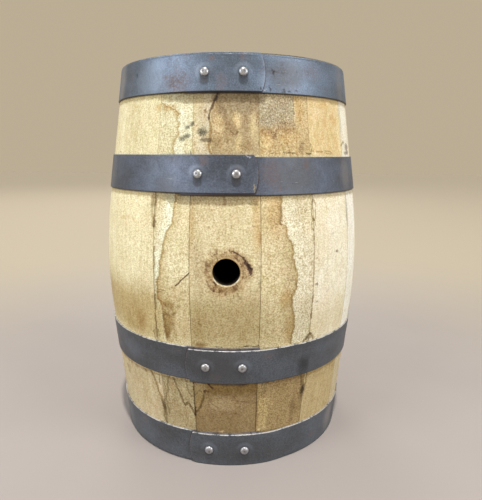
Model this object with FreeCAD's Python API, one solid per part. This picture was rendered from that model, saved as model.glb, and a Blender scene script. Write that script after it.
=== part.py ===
"""Small coopered oak cask: bent staves, two jointed heads, four riveted steel hoops and a bung hole.

The cask stands upright on the ends of its staves. Millimetres, +Z up, origin on the floor under the
middle of the cask, the bung hole on the -Y side. Angles round the cask start at -Y and grow towards +X.
"""

import math
import os

import FreeCAD
import Part

# Cask body
CASK_HEIGHT = 435.0
BILGE_DIAMETER = 312.0
END_DIAMETER = 267.0
BELLY_TANGENT = 33.0  # above the middle, where the straight taper's line meets the bilge's upright line

# Staves, named by the angle that each takes up; the last stave closes the ring
BUNG_STAVE_START_DEG = -13.9
BUNG_STAVE_SPAN_DEG = 26.7
STAVE_SPANS_DEG = (22.6, 24.2, 26.0, 21.5, 25.0, 28.5, 19.0, 24.5, 27.5, 22.0, 25.6, 26.5, 25.0)
STAVE_THICKNESS = 20.0
STAVE_JOINT = 0.1  # width of the joint between two staves at the bilge
STAVE_ARRIS = 0.4  # bevel along both outer edges of a stave

# Stave ends: flat land, chime bevel, hollowed howel and the croze groove that holds the head
CHIME_LAND = 7.0
CHIME_BEVEL_DEPTH = 14.0
HOWEL_DEPTH = 1.0
CROZE_FLOOR = 3.5
CROZE_DEPTH = 4.5
CROZE_FLARE = 0.33  # how far each side of the groove spreads for each millimetre of depth

# Bung hole
BUNG_HOLE_DIAMETER = 28.0
BUNG_HOLE_ABOVE_MIDDLE = 2.3
BUNG_HOLE_LIP = 0.6

# Heads: boards side by side, pinned to each other with dowels
HEAD_RECESS = 26.0  # from the ends of the staves to the head's outer face
HEAD_THICKNESS = 17.0
HEAD_BOARD_SHARES = (0.96, 1.07, 0.92, 1.03, 1.02)  # widths of the boards against each other
HEAD_BOARD_JOINT = 0.1
HEAD_CLEARANCE = 0.1  # between the head's rim and the croze
DOWEL_DIAMETER = 8.0
DOWEL_LENGTH = 36.0
DOWEL_SPACING = 84.0
DOWEL_CLEARANCE = 0.05
DOWEL_TIP_BEVEL = 1.0

# Hoops: flat steel strip, wound once round the cask and lapped on itself
HOOP_WIDTH = 38.1
HOOP_THICKNESS = 1.5
HOOP_FIT = 0.05  # between the hoop and the staves
HOOP_LAP_FIT = 0.1  # between the two layers of the lap
HOOP_CLIMB = 30.0  # length over which the strip rises onto its own first layer
HOOP_END_BULGE = 4.0  # both ends of the strip are cut to a shallow arc this deep
STRIP_SECTION_DEG = 5.0  # spacing of the sections that the strip's edges are drawn through
HEAD_HOOP_SETBACK = 0.5  # from the end of the cask to the nearest edge of the head hoop
QUARTER_HOOP_SETBACK = 99.5
HEAD_HOOP_CREEP = 0.9  # one turn of the head hoop's strip moves this far towards the end of the cask
QUARTER_HOOP_CREEP = 2.0

# Rivets: two through each lap
RIVET_PITCH = 37.5
RIVET_END_MARGIN = 21.5  # from a rivet to the end of the strip
RIVET_HEAD_DIAMETER = 9.0
RIVET_HEAD_HEIGHT = 3.0
RIVET_HEAD_EDGE = 0.5  # upright edge under the dome
RIVET_SHANK_DIAMETER = 5.0
RIVET_HOLE_CLEARANCE = 0.05

# Middle of each lap, as an angle round the cask
TOP_HEAD_LAP_DEG = -1.5
UPPER_QUARTER_LAP_DEG = -3.7
LOWER_QUARTER_LAP_DEG = -1.0
BOTTOM_HEAD_LAP_DEG = 0.0

# Worked out from the sizes above
MIDDLE = CASK_HEIGHT / 2
BILGE_RADIUS = BILGE_DIAMETER / 2
END_RADIUS = END_DIAMETER / 2
TAPER = math.atan2(BILGE_RADIUS - END_RADIUS, MIDDLE - BELLY_TANGENT)  # slope of the straight ends
BELLY_ARC_RADIUS = BELLY_TANGENT / math.tan(TAPER / 2)
CROZE_HEIGHT = HEAD_RECESS + HEAD_THICKNESS / 2  # middle of the groove, from the end of the cask

UP = FreeCAD.Vector(0, 0, 1)
ALONG_Y = FreeCAD.Vector(0, 1, 0)
CENTRE = FreeCAD.Vector(0, 0, MIDDLE)


def outline_point(radius, height):
    """Point of an outline that is drawn in the XZ plane, where X is the distance from the cask's axis."""
    return FreeCAD.Vector(radius, 0, height)


def around(degrees):
    """Unit vector from the axis towards an angle round the cask."""
    angle = math.radians(degrees)
    return FreeCAD.Vector(math.sin(angle), -math.cos(angle), 0)


def turned(shape, degrees):
    """Copy of a shape drawn on +X, turned to an angle round the cask."""
    copy = shape.copy()
    copy.rotate(FreeCAD.Vector(), UP, degrees - 90)
    return copy


def upside_down(shape):
    """Copy for the other end of the cask: half a turn about the bung hole's direction."""
    copy = shape.copy()
    copy.rotate(CENTRE, ALONG_Y, 180)
    return copy


def taper_radius(from_end, depth=0.0):
    """Radius of the straight taper at a distance from the cask's end, at a depth inside the wood."""
    return END_RADIUS + from_end * math.tan(TAPER) - depth / math.cos(TAPER)


def export(shape, name):
    shape.exportStep(os.path.join("parts", name + ".step"))


# ---------------------------------------------------------------- staves


def belly_points(depth):
    """Ends and top of the belly's arc, lower end first, at a depth inside the wood."""
    arc_radius = BELLY_ARC_RADIUS - depth
    centre = BILGE_RADIUS - BELLY_ARC_RADIUS
    reach = arc_radius * math.sin(TAPER)
    edge = centre + arc_radius * math.cos(TAPER)
    lower = outline_point(edge, MIDDLE - reach)
    upper = outline_point(edge, MIDDLE + reach)
    return lower, outline_point(BILGE_RADIUS - depth, MIDDLE), upper


def croze_floor_radius():
    return taper_radius(CROZE_HEIGHT, STAVE_THICKNESS) + CROZE_DEPTH


def croze_mouth(side):
    """Corner where a side of the croze opens into the stave's inner face; side is -1 towards the end."""
    base = taper_radius(0, STAVE_THICKNESS)
    floor_corner = CROZE_HEIGHT + side * CROZE_FLOOR / 2
    spread = side * CROZE_FLARE
    from_end = (floor_corner + spread * (croze_floor_radius() - base)) / (1 + spread * math.tan(TAPER))
    return taper_radius(from_end, STAVE_THICKNESS), from_end


def chime_outline():
    """Open outline of the bottom stave end, from the outer edge to the inner mouth of the croze."""
    land = outline_point(END_RADIUS - CHIME_LAND, 0)
    bevel_end = outline_point(taper_radius(CHIME_BEVEL_DEPTH, STAVE_THICKNESS), CHIME_BEVEL_DEPTH)
    outer_mouth = outline_point(*croze_mouth(-1))
    inner_mouth = outline_point(*croze_mouth(1))
    outer_floor = outline_point(croze_floor_radius(), CROZE_HEIGHT - CROZE_FLOOR / 2)
    inner_floor = outline_point(croze_floor_radius(), CROZE_HEIGHT + CROZE_FLOOR / 2)
    howel = (bevel_end + outer_mouth) * 0.5 + FreeCAD.Vector(HOWEL_DEPTH, 0, 0)
    return [
        Part.makeLine(outline_point(END_RADIUS, 0), land),
        Part.makeLine(land, bevel_end),
        Part.Arc(bevel_end, howel, outer_mouth).toShape(),
        Part.makeLine(outer_mouth, outer_floor),
        Part.makeLine(outer_floor, inner_floor),
        Part.makeLine(inner_floor, inner_mouth),
    ]


def stave_section():
    """Face of a stave cut through its middle, in the XZ plane."""
    outer = belly_points(0)
    inner = belly_points(STAVE_THICKNESS)
    bottom = chime_outline()
    top = [edge.mirror(CENTRE, UP) for edge in bottom]
    mouth_radius, mouth_height = croze_mouth(1)
    edges = bottom + top + [
        Part.makeLine(outline_point(END_RADIUS, 0), outer[0]),
        Part.Arc(*outer).toShape(),
        Part.makeLine(outer[2], outline_point(END_RADIUS, CASK_HEIGHT)),
        Part.makeLine(outline_point(mouth_radius, mouth_height), inner[0]),
        Part.Arc(*inner).toShape(),
        Part.makeLine(inner[2], outline_point(mouth_radius, CASK_HEIGHT - mouth_height)),
    ]
    return Part.Face(Part.Wire(Part.__sortEdges__(edges)))


def mid_wood_radius(height):
    """Radius, near enough, of the middle of the stave's thickness at a height."""
    from_end = min(height, CASK_HEIGHT - height)
    return min(taper_radius(from_end), BILGE_RADIUS) - STAVE_THICKNESS / 2


def outer_long_edges(stave):
    """The edges that run from end to end on a stave's outer face."""
    found = []
    for edge in stave.Edges:
        middle = edge.valueAt((edge.FirstParameter + edge.LastParameter) / 2)
        is_outer = math.hypot(middle.x, middle.y) > mid_wood_radius(middle.z)
        if is_outer and edge.BoundBox.ZLength > STAVE_THICKNESS:
            found.append(edge)
    return found


def make_stave(section, start, span):
    """One stave between two planes through the cask's axis, with its outer edges bevelled."""
    joint = math.degrees(STAVE_JOINT / BILGE_RADIUS)
    stave = section.revolve(FreeCAD.Vector(), UP, span - joint)
    stave = stave.makeChamfer(STAVE_ARRIS, outer_long_edges(stave))
    return turned(stave, start + joint / 2)


def bung_hole_tool():
    """Drill for the bung hole with its bevelled lip, pointing out through -Y."""
    radius = BUNG_HOLE_DIAMETER / 2
    height = MIDDLE + BUNG_HOLE_ABOVE_MIDDLE
    start = FreeCAD.Vector(0, -BILGE_RADIUS + 2 * STAVE_THICKNESS, height)
    drill = Part.makeCylinder(radius, 3 * STAVE_THICKNESS, start, -ALONG_Y)
    lip_start = FreeCAD.Vector(0, -BILGE_RADIUS + BUNG_HOLE_LIP, height)
    lip = Part.makeCone(radius, radius + 2 * BUNG_HOLE_LIP, 2 * BUNG_HOLE_LIP, lip_start, -ALONG_Y)
    return drill.fuse(lip)


def make_staves():
    section = stave_section()
    bung_stave = make_stave(section, BUNG_STAVE_START_DEG, BUNG_STAVE_SPAN_DEG)
    staves = {"bung_stave": bung_stave.cut(bung_hole_tool())}
    start = BUNG_STAVE_START_DEG + BUNG_STAVE_SPAN_DEG
    closing_span = 360 - BUNG_STAVE_SPAN_DEG - sum(STAVE_SPANS_DEG)
    for number, span in enumerate(STAVE_SPANS_DEG + (closing_span,), start=1):
        staves[f"stave_{number:02d}"] = make_stave(section, start, span)
        start += span
    return staves


# ---------------------------------------------------------------- heads


def head_disc():
    """The top head before it is parted into boards, with a rim bevelled to fit the croze."""
    rim_radius = croze_floor_radius() - HEAD_CLEARANCE
    rim_half = CROZE_FLOOR / 2 - HEAD_CLEARANCE
    bevel = (HEAD_THICKNESS / 2 - rim_half) / CROZE_FLARE
    middle = CASK_HEIGHT - CROZE_HEIGHT
    outer_face = middle + HEAD_THICKNESS / 2
    inner_face = middle - HEAD_THICKNESS / 2
    corners = [
        outline_point(0, inner_face),
        outline_point(rim_radius - bevel, inner_face),
        outline_point(rim_radius, middle - rim_half),
        outline_point(rim_radius, middle + rim_half),
        outline_point(rim_radius - bevel, outer_face),
        outline_point(0, outer_face),
    ]
    face = Part.Face(Part.makePolygon(corners + corners[:1]))
    return face.revolve(FreeCAD.Vector(), UP, 360)


def head_joints():
    """Places of the joints between the head's boards, along X."""
    rim_radius = croze_floor_radius() - HEAD_CLEARANCE
    one_share = 2 * rim_radius / sum(HEAD_BOARD_SHARES)
    places = []
    place = -rim_radius
    for share in HEAD_BOARD_SHARES[:-1]:
        place += share * one_share
        places.append(place)
    return places


def dowel_places():
    """Middle of each dowel: two to a joint."""
    middle = CASK_HEIGHT - CROZE_HEIGHT
    sides = (-DOWEL_SPACING / 2, DOWEL_SPACING / 2)
    return [FreeCAD.Vector(x, y, middle) for x in head_joints() for y in sides]


def rod_along_x(place, diameter, length):
    start = place - FreeCAD.Vector(length / 2, 0, 0)
    return Part.makeCylinder(diameter / 2, length, start, FreeCAD.Vector(1, 0, 0))


def make_dowels():
    dowels = []
    for place in dowel_places():
        rod = rod_along_x(place, DOWEL_DIAMETER, DOWEL_LENGTH)
        rims = [edge for edge in rod.Edges if edge.BoundBox.XLength < DOWEL_DIAMETER / 2]
        dowels.append(rod.makeChamfer(DOWEL_TIP_BEVEL, rims))
    return Part.makeCompound(dowels)


def make_head_boards():
    """The top head's boards, from -X to +X, bored for their dowels."""
    disc = head_disc()
    box = disc.BoundBox
    for place in dowel_places():
        bore = rod_along_x(place, DOWEL_DIAMETER + 2 * DOWEL_CLEARANCE, DOWEL_LENGTH + 2 * DOWEL_CLEARANCE)
        disc = disc.cut(bore)
    joints = head_joints()
    lefts = [box.XMin - HEAD_BOARD_JOINT] + joints
    rights = joints + [box.XMax + HEAD_BOARD_JOINT]
    boards = []
    for left, right in zip(lefts, rights):
        corner = FreeCAD.Vector(left + HEAD_BOARD_JOINT / 2, box.YMin, box.ZMin)
        slab = Part.makeBox(right - left - HEAD_BOARD_JOINT, box.YLength, box.ZLength, corner)
        boards.append(disc.common(slab))
    return boards


# ---------------------------------------------------------------- hoops and rivets


class Hoop:
    """A hoop of the top half: strip wound towards +X from its inner end, creeping up to its outer end."""

    def __init__(self, setback, creep, lap_degrees):
        self.setback = setback
        self.creep = creep
        from_end = setback + HOOP_WIDTH / 2
        self.radius = taper_radius(from_end)
        half_lap = RIVET_PITCH / 2 + RIVET_END_MARGIN
        self.lap = math.degrees(2 * half_lap / self.radius)
        self.climb = math.degrees(HOOP_CLIMB / self.radius)
        self.start = lap_degrees - self.lap / 2
        self.turn = 360 + self.lap
        half_pitch = math.degrees(RIVET_PITCH / 2 / self.radius)
        middle = 360 + self.lap / 2
        self.rivet_windings = (middle - half_pitch, middle + half_pitch)

    def lift(self, winding):
        """Height of the strip's inner face above its seat on the staves, after so many degrees."""
        share = (winding - 360 + self.climb) / self.climb
        share = min(max(share, 0), 1)
        smooth = share * share * (3 - 2 * share)
        return HOOP_FIT + smooth * (HOOP_THICKNESS + HOOP_LAP_FIT)

    def point(self, winding, across, height):
        """Point of the strip: across is 0 on its edge nearest the cask's end, height is off the wood."""
        from_end = self.setback + self.creep * (1 - winding / self.turn) + across * math.cos(TAPER)
        radius = taper_radius(from_end) + height * math.cos(TAPER)
        place = around(self.start + winding) * radius
        place.z = CASK_HEIGHT - from_end + height * math.sin(TAPER)
        return place

    def normal(self, winding):
        return around(self.start + winding) * math.cos(TAPER) + UP * math.sin(TAPER)

    def length_of_strip(self, first, last):
        """Solid stretch of plain strip between two windings, through sections a few degrees apart."""
        steps = math.ceil((last - first) / STRIP_SECTION_DEG)
        windings = [first + (last - first) * step / steps for step in range(steps + 1)]

        def edge(across, layer):
            curve = Part.BSplineCurve()
            points = [self.point(w, across, self.lift(w) + layer) for w in windings]
            curve.interpolate(points)
            return curve.toShape()

        corners = [(0, 0), (0, HOOP_THICKNESS), (HOOP_WIDTH, HOOP_THICKNESS), (HOOP_WIDTH, 0)]
        edges = [edge(*corner) for corner in corners]
        faces = [Part.makeRuledSurface(edges[i], edges[(i + 1) % 4]) for i in range(4)]
        for winding in (first, last):
            ends = [self.point(winding, across, self.lift(winding) + layer) for across, layer in corners]
            faces.append(Part.Face(Part.makePolygon(ends + ends[:1])))
        solid = Part.makeSolid(Part.makeShell(faces))
        if solid.Volume < 0:
            solid.reverse()
        return solid

    def frame(self, winding, height):
        """Placement on the strip's middle line: X along the strip, Y towards the cask's end, Z outwards."""
        base = self.point(winding, HOOP_WIDTH / 2, height)
        outwards = self.normal(winding)
        along = UP.cross(outwards)
        along.normalize()
        up_the_strip = outwards.cross(along)
        return FreeCAD.Placement(base, FreeCAD.Rotation(along, up_the_strip, outwards, "ZXY"))

    def end_trimmer(self, winding, direction):
        """Block beyond the arc that the strip's end is cut to; direction is +1 at the outer end."""
        arc_radius = (HOOP_WIDTH ** 2 / 4 + HOOP_END_BULGE ** 2) / (2 * HOOP_END_BULGE)
        reach = min(HOOP_WIDTH, arc_radius)
        set_in = arc_radius - math.sqrt(arc_radius ** 2 - reach ** 2)
        upper = FreeCAD.Vector(-direction * set_in, reach, 0)
        lower = FreeCAD.Vector(-direction * set_in, -reach, 0)
        far_lower = FreeCAD.Vector(direction * HOOP_WIDTH, -reach, 0)
        far_upper = FreeCAD.Vector(direction * HOOP_WIDTH, reach, 0)
        edges = [
            Part.Arc(upper, FreeCAD.Vector(), lower).toShape(),
            Part.makeLine(lower, far_lower),
            Part.makeLine(far_lower, far_upper),
            Part.makeLine(far_upper, upper),
        ]
        block = Part.Face(Part.Wire(edges)).extrude(UP * HOOP_WIDTH)
        block.translate(UP * -HOOP_WIDTH / 2)
        block.Placement = self.frame(winding, 0).multiply(block.Placement)
        return block

    def rivet_frames(self):
        return [self.frame(winding, self.lift(winding) + HOOP_THICKNESS) for winding in self.rivet_windings]

    def strip(self):
        """The whole hoop as one solid, with both ends rounded and the rivet holes punched."""
        first_half = self.length_of_strip(0, 180).cut(self.end_trimmer(0, -1))
        second_half = self.length_of_strip(180, self.turn).cut(self.end_trimmer(self.turn, 1))
        hoop = first_half.fuse(second_half)
        hole_radius = RIVET_SHANK_DIAMETER / 2 + RIVET_HOLE_CLEARANCE
        for frame in self.rivet_frames():
            punch = Part.makeCylinder(hole_radius, 2 * HOOP_WIDTH)
            punch.translate(UP * -HOOP_WIDTH)
            punch.Placement = frame.multiply(punch.Placement)
            hoop = hoop.cut(punch)
        return hoop

    def rivets(self):
        grip = 2 * HOOP_THICKNESS + HOOP_LAP_FIT
        rivets = []
        for frame in self.rivet_frames():
            rivet = make_rivet(grip)
            rivet.Placement = frame.multiply(rivet.Placement)
            rivets.append(rivet)
        return Part.makeCompound(rivets)


def make_rivet(grip):
    """Dome-headed rivet along Z, with the underside of its head at the origin."""
    head_radius = RIVET_HEAD_DIAMETER / 2
    shank_radius = RIVET_SHANK_DIAMETER / 2
    rise = RIVET_HEAD_HEIGHT - RIVET_HEAD_EDGE
    dome_radius = (head_radius ** 2 + rise ** 2) / (2 * rise)
    half_way = math.asin(head_radius / dome_radius) / 2
    dome_centre = RIVET_HEAD_HEIGHT - dome_radius
    crown = outline_point(0, RIVET_HEAD_HEIGHT)
    shoulder_x = dome_radius * math.sin(half_way)
    shoulder_z = dome_centre + dome_radius * math.cos(half_way)
    rim = outline_point(head_radius, RIVET_HEAD_EDGE)
    corners = [
        rim,
        outline_point(head_radius, 0),
        outline_point(shank_radius, 0),
        outline_point(shank_radius, -grip),
        outline_point(0, -grip),
        crown,
    ]
    edges = [Part.makeLine(a, b) for a, b in zip(corners, corners[1:])]
    edges.append(Part.Arc(crown, outline_point(shoulder_x, shoulder_z), rim).toShape())
    return Part.Face(Part.Wire(edges)).revolve(FreeCAD.Vector(), UP, 360)


def main():
    os.makedirs("parts", exist_ok=True)

    for name, stave in make_staves().items():
        export(stave, name)

    for number, board in enumerate(make_head_boards(), start=1):
        export(board, f"top_head_board_{number}")
        export(upside_down(board), f"bottom_head_board_{number}")
    dowels = make_dowels()
    export(dowels, "top_head_dowels")
    export(upside_down(dowels), "bottom_head_dowels")

    upper_hoops = {
        "top_head_hoop": Hoop(HEAD_HOOP_SETBACK, HEAD_HOOP_CREEP, TOP_HEAD_LAP_DEG),
        "upper_quarter_hoop": Hoop(QUARTER_HOOP_SETBACK, QUARTER_HOOP_CREEP, UPPER_QUARTER_LAP_DEG),
    }
    lower_hoops = {
        "lower_quarter_hoop": Hoop(QUARTER_HOOP_SETBACK, QUARTER_HOOP_CREEP, -LOWER_QUARTER_LAP_DEG),
        "bottom_head_hoop": Hoop(HEAD_HOOP_SETBACK, HEAD_HOOP_CREEP, -BOTTOM_HEAD_LAP_DEG),
    }
    for name, hoop in upper_hoops.items():
        export(hoop.strip(), name)
        export(hoop.rivets(), name + "_rivets")
    for name, hoop in lower_hoops.items():
        export(upside_down(hoop.strip()), name)
        export(upside_down(hoop.rivets()), name + "_rivets")


main()
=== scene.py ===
"""Looks of a small coopered oak cask: raw, stained staves and heads, mill-scale hoops and bright rivets.

Sizes are millimetres, apart from lamps and camera; Blender gets metres. An angle round the cask starts
at -Y, where the bung hole is, and grows towards +X.
"""

import math
import random

import bpy
import numpy as np
from mathutils import Matrix, Vector


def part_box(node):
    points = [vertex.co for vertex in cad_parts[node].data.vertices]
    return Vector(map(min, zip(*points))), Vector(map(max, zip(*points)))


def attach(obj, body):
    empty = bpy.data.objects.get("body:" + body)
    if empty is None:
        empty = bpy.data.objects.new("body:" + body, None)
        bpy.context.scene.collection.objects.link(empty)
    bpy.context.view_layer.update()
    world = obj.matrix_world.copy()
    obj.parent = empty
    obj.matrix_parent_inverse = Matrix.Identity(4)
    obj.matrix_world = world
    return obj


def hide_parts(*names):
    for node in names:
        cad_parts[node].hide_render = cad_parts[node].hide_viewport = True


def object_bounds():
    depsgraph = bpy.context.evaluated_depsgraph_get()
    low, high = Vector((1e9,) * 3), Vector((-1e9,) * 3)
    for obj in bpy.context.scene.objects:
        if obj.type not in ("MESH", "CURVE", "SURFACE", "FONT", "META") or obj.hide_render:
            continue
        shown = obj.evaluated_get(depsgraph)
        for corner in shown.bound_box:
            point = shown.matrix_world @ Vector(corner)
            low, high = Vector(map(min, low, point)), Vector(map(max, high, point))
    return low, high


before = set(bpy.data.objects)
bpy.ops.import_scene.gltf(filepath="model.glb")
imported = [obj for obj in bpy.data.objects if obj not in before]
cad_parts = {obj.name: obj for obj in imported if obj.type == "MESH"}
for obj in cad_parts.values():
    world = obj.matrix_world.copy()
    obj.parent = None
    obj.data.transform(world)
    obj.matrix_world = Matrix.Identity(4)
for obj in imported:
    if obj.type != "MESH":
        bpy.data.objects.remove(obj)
cad_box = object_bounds()

MM = 0.001
BODY = "root"

# Cask, as the CAD nodes have it
CASK_HEIGHT = (cad_box[1].z - cad_box[0].z) / MM
MIDDLE = CASK_HEIGHT / 2
BILGE_RADIUS = cad_box[1].x / MM
BUNG_HEIGHT = MIDDLE + 2.3
BUNG_RADIUS = 14
END_RADIUS = 133.5
BELLY_TANGENT = 33
TAPER = math.atan2(BILGE_RADIUS - END_RADIUS, MIDDLE - BELLY_TANGENT)
STAVE_THICKNESS = 20
HOOP_WIDTH = 38.1
HOOP_THICKNESS = 1.5
HOOP_FIT = 0.05
HOOP_LAP_FIT = 0.1
HOOP_CLIMB = 30
HOOP_END_BULGE = 4
RIVET_PITCH = 37.5
RIVET_END_MARGIN = 21.5
RIVET_HEAD_RADIUS = 4.5
RIVET_HEAD_HEIGHT = 3
RIVET_SHANK_RADIUS = 2.5

# Marks on its face
FACE_RADIUS = 150  # near enough for the whole face
ARC = math.radians(1) * FACE_RADIUS  # millimetres of the face for each degree
LAYOUT_TURN = 0.5  # the staves' marks are counted from this angle

COLOURS = {
    "tan": (0.72, 0.63, 0.47), "ochre": (0.84, 0.67, 0.43), "brown": (0.42, 0.30, 0.19),
    "dark": (0.16, 0.12, 0.09), "grey": (0.34, 0.34, 0.35), "bleach": (1.08, 1.14, 1.30),
    "rim": (0.66, 0.54, 0.36), "moss": (0.48, 0.42, 0.27), "rusty": (0.33, 0.21, 0.14),
    "rust": (0.17, 0.118, 0.108), "sheen": (0.22, 0.27, 0.35), "dull": (0.075, 0.075, 0.08),
    "pit": (0.018, 0.018, 0.02), "scuff": (0.46, 0.49, 0.54), "brass": (0.50, 0.40, 0.22),
    "haze": (0.27, 0.25, 0.245), "bare": (0.60, 0.60, 0.61),
}


# ---- node trees written as formulas


class Num:
    """A number that varies over a surface. Arithmetic on it adds Math nodes to its tree."""

    def __init__(self, tree, socket):
        self.tree = tree
        self.socket = socket

    def __add__(self, other):
        return self.tree.math("ADD", self, other)

    def __sub__(self, other):
        return self.tree.math("SUBTRACT", self, other)

    def __rsub__(self, other):
        return self.tree.math("SUBTRACT", other, self)

    def __mul__(self, other):
        return self.tree.math("MULTIPLY", self, other)

    def __abs__(self):
        return self.tree.math("ABSOLUTE", self)

    __radd__ = __add__
    __rmul__ = __mul__


class Tree:
    """The node tree of a material or world, and short ways to add to it."""

    def __init__(self, owner):
        owner.use_nodes = True
        self.nodes = owner.node_tree.nodes
        self.links = owner.node_tree.links
        self.nodes.clear()

    def put(self, socket, value):
        if isinstance(value, Num):
            value = value.socket
        if isinstance(value, bpy.types.NodeSocket):
            self.links.new(value, socket)
        elif isinstance(value, (tuple, list)) and len(socket.default_value) > len(value):
            socket.default_value = (*value, 1.0)
        else:
            socket.default_value = value

    def node(self, kind, inputs=None, **settings):
        made = self.nodes.new("ShaderNode" + kind)
        for name, value in settings.items():
            setattr(made, name, value)
        for key, value in (inputs or {}).items():
            self.put(made.inputs[key], value)
        return made

    def math(self, operation, *values):
        return Num(self, self.node("Math", dict(enumerate(values)), operation=operation).outputs[0])

    def vector_math(self, operation, *values, scale=None):
        inputs = dict(enumerate(values))
        if scale is not None:
            inputs["Scale"] = scale
        made = self.node("VectorMath", inputs, operation=operation)
        if operation in ("LENGTH", "DOT_PRODUCT", "DISTANCE"):
            return Num(self, made.outputs["Value"])
        return made.outputs["Vector"]

    def split(self, vector):
        return [Num(self, output) for output in self.node("SeparateXYZ", {0: vector}).outputs]

    def join(self, x, y, z=0.0):
        return self.node("CombineXYZ", {0: x, 1: y, 2: z}).outputs[0]

    def mix(self, share, a, b, blend="MIX"):
        return self.node("Mix", {0: share, 6: a, 7: b}, data_type="RGBA", blend_type=blend).outputs[2]

    def step(self, value, low, high):
        """0 below low, 1 above high, smooth between; the other way round where low is the larger."""
        inputs = {"Value": value, "From Min": low, "From Max": high}
        return Num(self, self.node("MapRange", inputs, interpolation_type="SMOOTHSTEP").outputs[0])

    def noise_node(self, at, size, detail, rough, seed):
        """Noise with features of about this size, which may differ along each axis."""
        sizes = size if isinstance(size, tuple) else (size,) * 3
        shift = (seed * 17.3, seed * 7.9, seed * 3.1)
        moved = self.node("Mapping", {"Vector": at, "Location": shift, "Scale": tuple(1 / s for s in sizes)})
        inputs = {"Vector": moved.outputs[0], "Scale": 1.0, "Detail": detail, "Roughness": rough}
        return self.node("TexNoise", inputs)

    def noise(self, at, size, detail=2.0, rough=0.5, seed=0.0):
        return Num(self, self.noise_node(at, size, detail, rough, seed).outputs[0])

    def shaken(self, at, size, reach, detail, seed):
        """The point moved unevenly by up to reach, so that what is drawn on it is ragged."""
        colour = self.noise_node(at, size, detail, 0.6, seed).outputs["Color"]
        centred = self.vector_math("SUBTRACT", colour, (0.5, 0.5, 0.5))
        return self.vector_math("ADD", at, self.vector_math("SCALE", centred, scale=2 * reach))

    def curve(self, value, points):
        """Value followed along straight runs through (value, result) points, smallest value first."""
        first, last = points[0][0], points[-1][0]
        results = [result for _, result in points]
        low = min(results) - 1
        high = max(results) + 1
        share = self.node("MapRange", {"Value": value, "From Min": first, "From Max": last})
        made = self.node("FloatCurve", {"Value": share.outputs[0]})
        line = made.mapping.curves[0]
        while len(line.points) < len(points):
            line.points.new(0.5, 0.5)
        for spot, (at, result) in zip(line.points, points):
            spot.location = ((at - first) / (last - first), (result - low) / (high - low))
            spot.handle_type = "VECTOR"
        made.mapping.update()
        return Num(self, made.outputs[0]) * (high - low) + low


class Sheet(Tree):
    """One material, with its coordinates in millimetres and its colour so far."""

    def __init__(self, name):
        self.material = bpy.data.materials.new(name)
        super().__init__(self.material)
        place = self.node("TexCoord").outputs["Object"]
        self.place = self.vector_math("SCALE", place, scale=1 / MM)
        self.x, self.y, self.z = self.split(self.place)
        self.from_axis = self.vector_math("LENGTH", self.join(self.x, self.y))

    def attribute(self, name):
        """A number kept in the mesh's points."""
        return Num(self, self.node("Attribute", attribute_name=name).outputs["Fac"])

    def upright(self):
        """How far the face looks up or down, from 0 to 1."""
        return abs(self.split(self.node("NewGeometry").outputs["True Normal"])[2])

    def cover(self, mask, colour):
        """Paints over what the mask lets through."""
        self.colour = self.mix(mask, self.colour, COLOURS.get(colour, colour))

    def tint(self, mask, colour):
        """Multiplies what the mask lets through by a colour."""
        self.colour = self.mix(mask, self.colour, COLOURS.get(colour, colour), "MULTIPLY")

    def tone(self, value, low, high, strength, colour):
        """Tints what lies beyond high, from low on."""
        self.tint(self.step(value, low, high) * strength, colour)

    def finish(self, roughness, relief=None, relief_depth=0.0, **sockets):
        """Principled surface. relief is a height from 0 to 1, and relief_depth its height in millimetres."""
        inputs = {"Base Color": self.colour, "Roughness": roughness, **sockets}
        if relief is not None:
            bump = {"Height": relief, "Distance": relief_depth * MM, "Strength": 1.0}
            inputs["Normal"] = self.node("Bump", bump).outputs[0]
        surface = self.node("BsdfPrincipled", inputs)
        self.node("OutputMaterial", {"Surface": surface.outputs[0]})
        return self.material


# ---- oak


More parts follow.
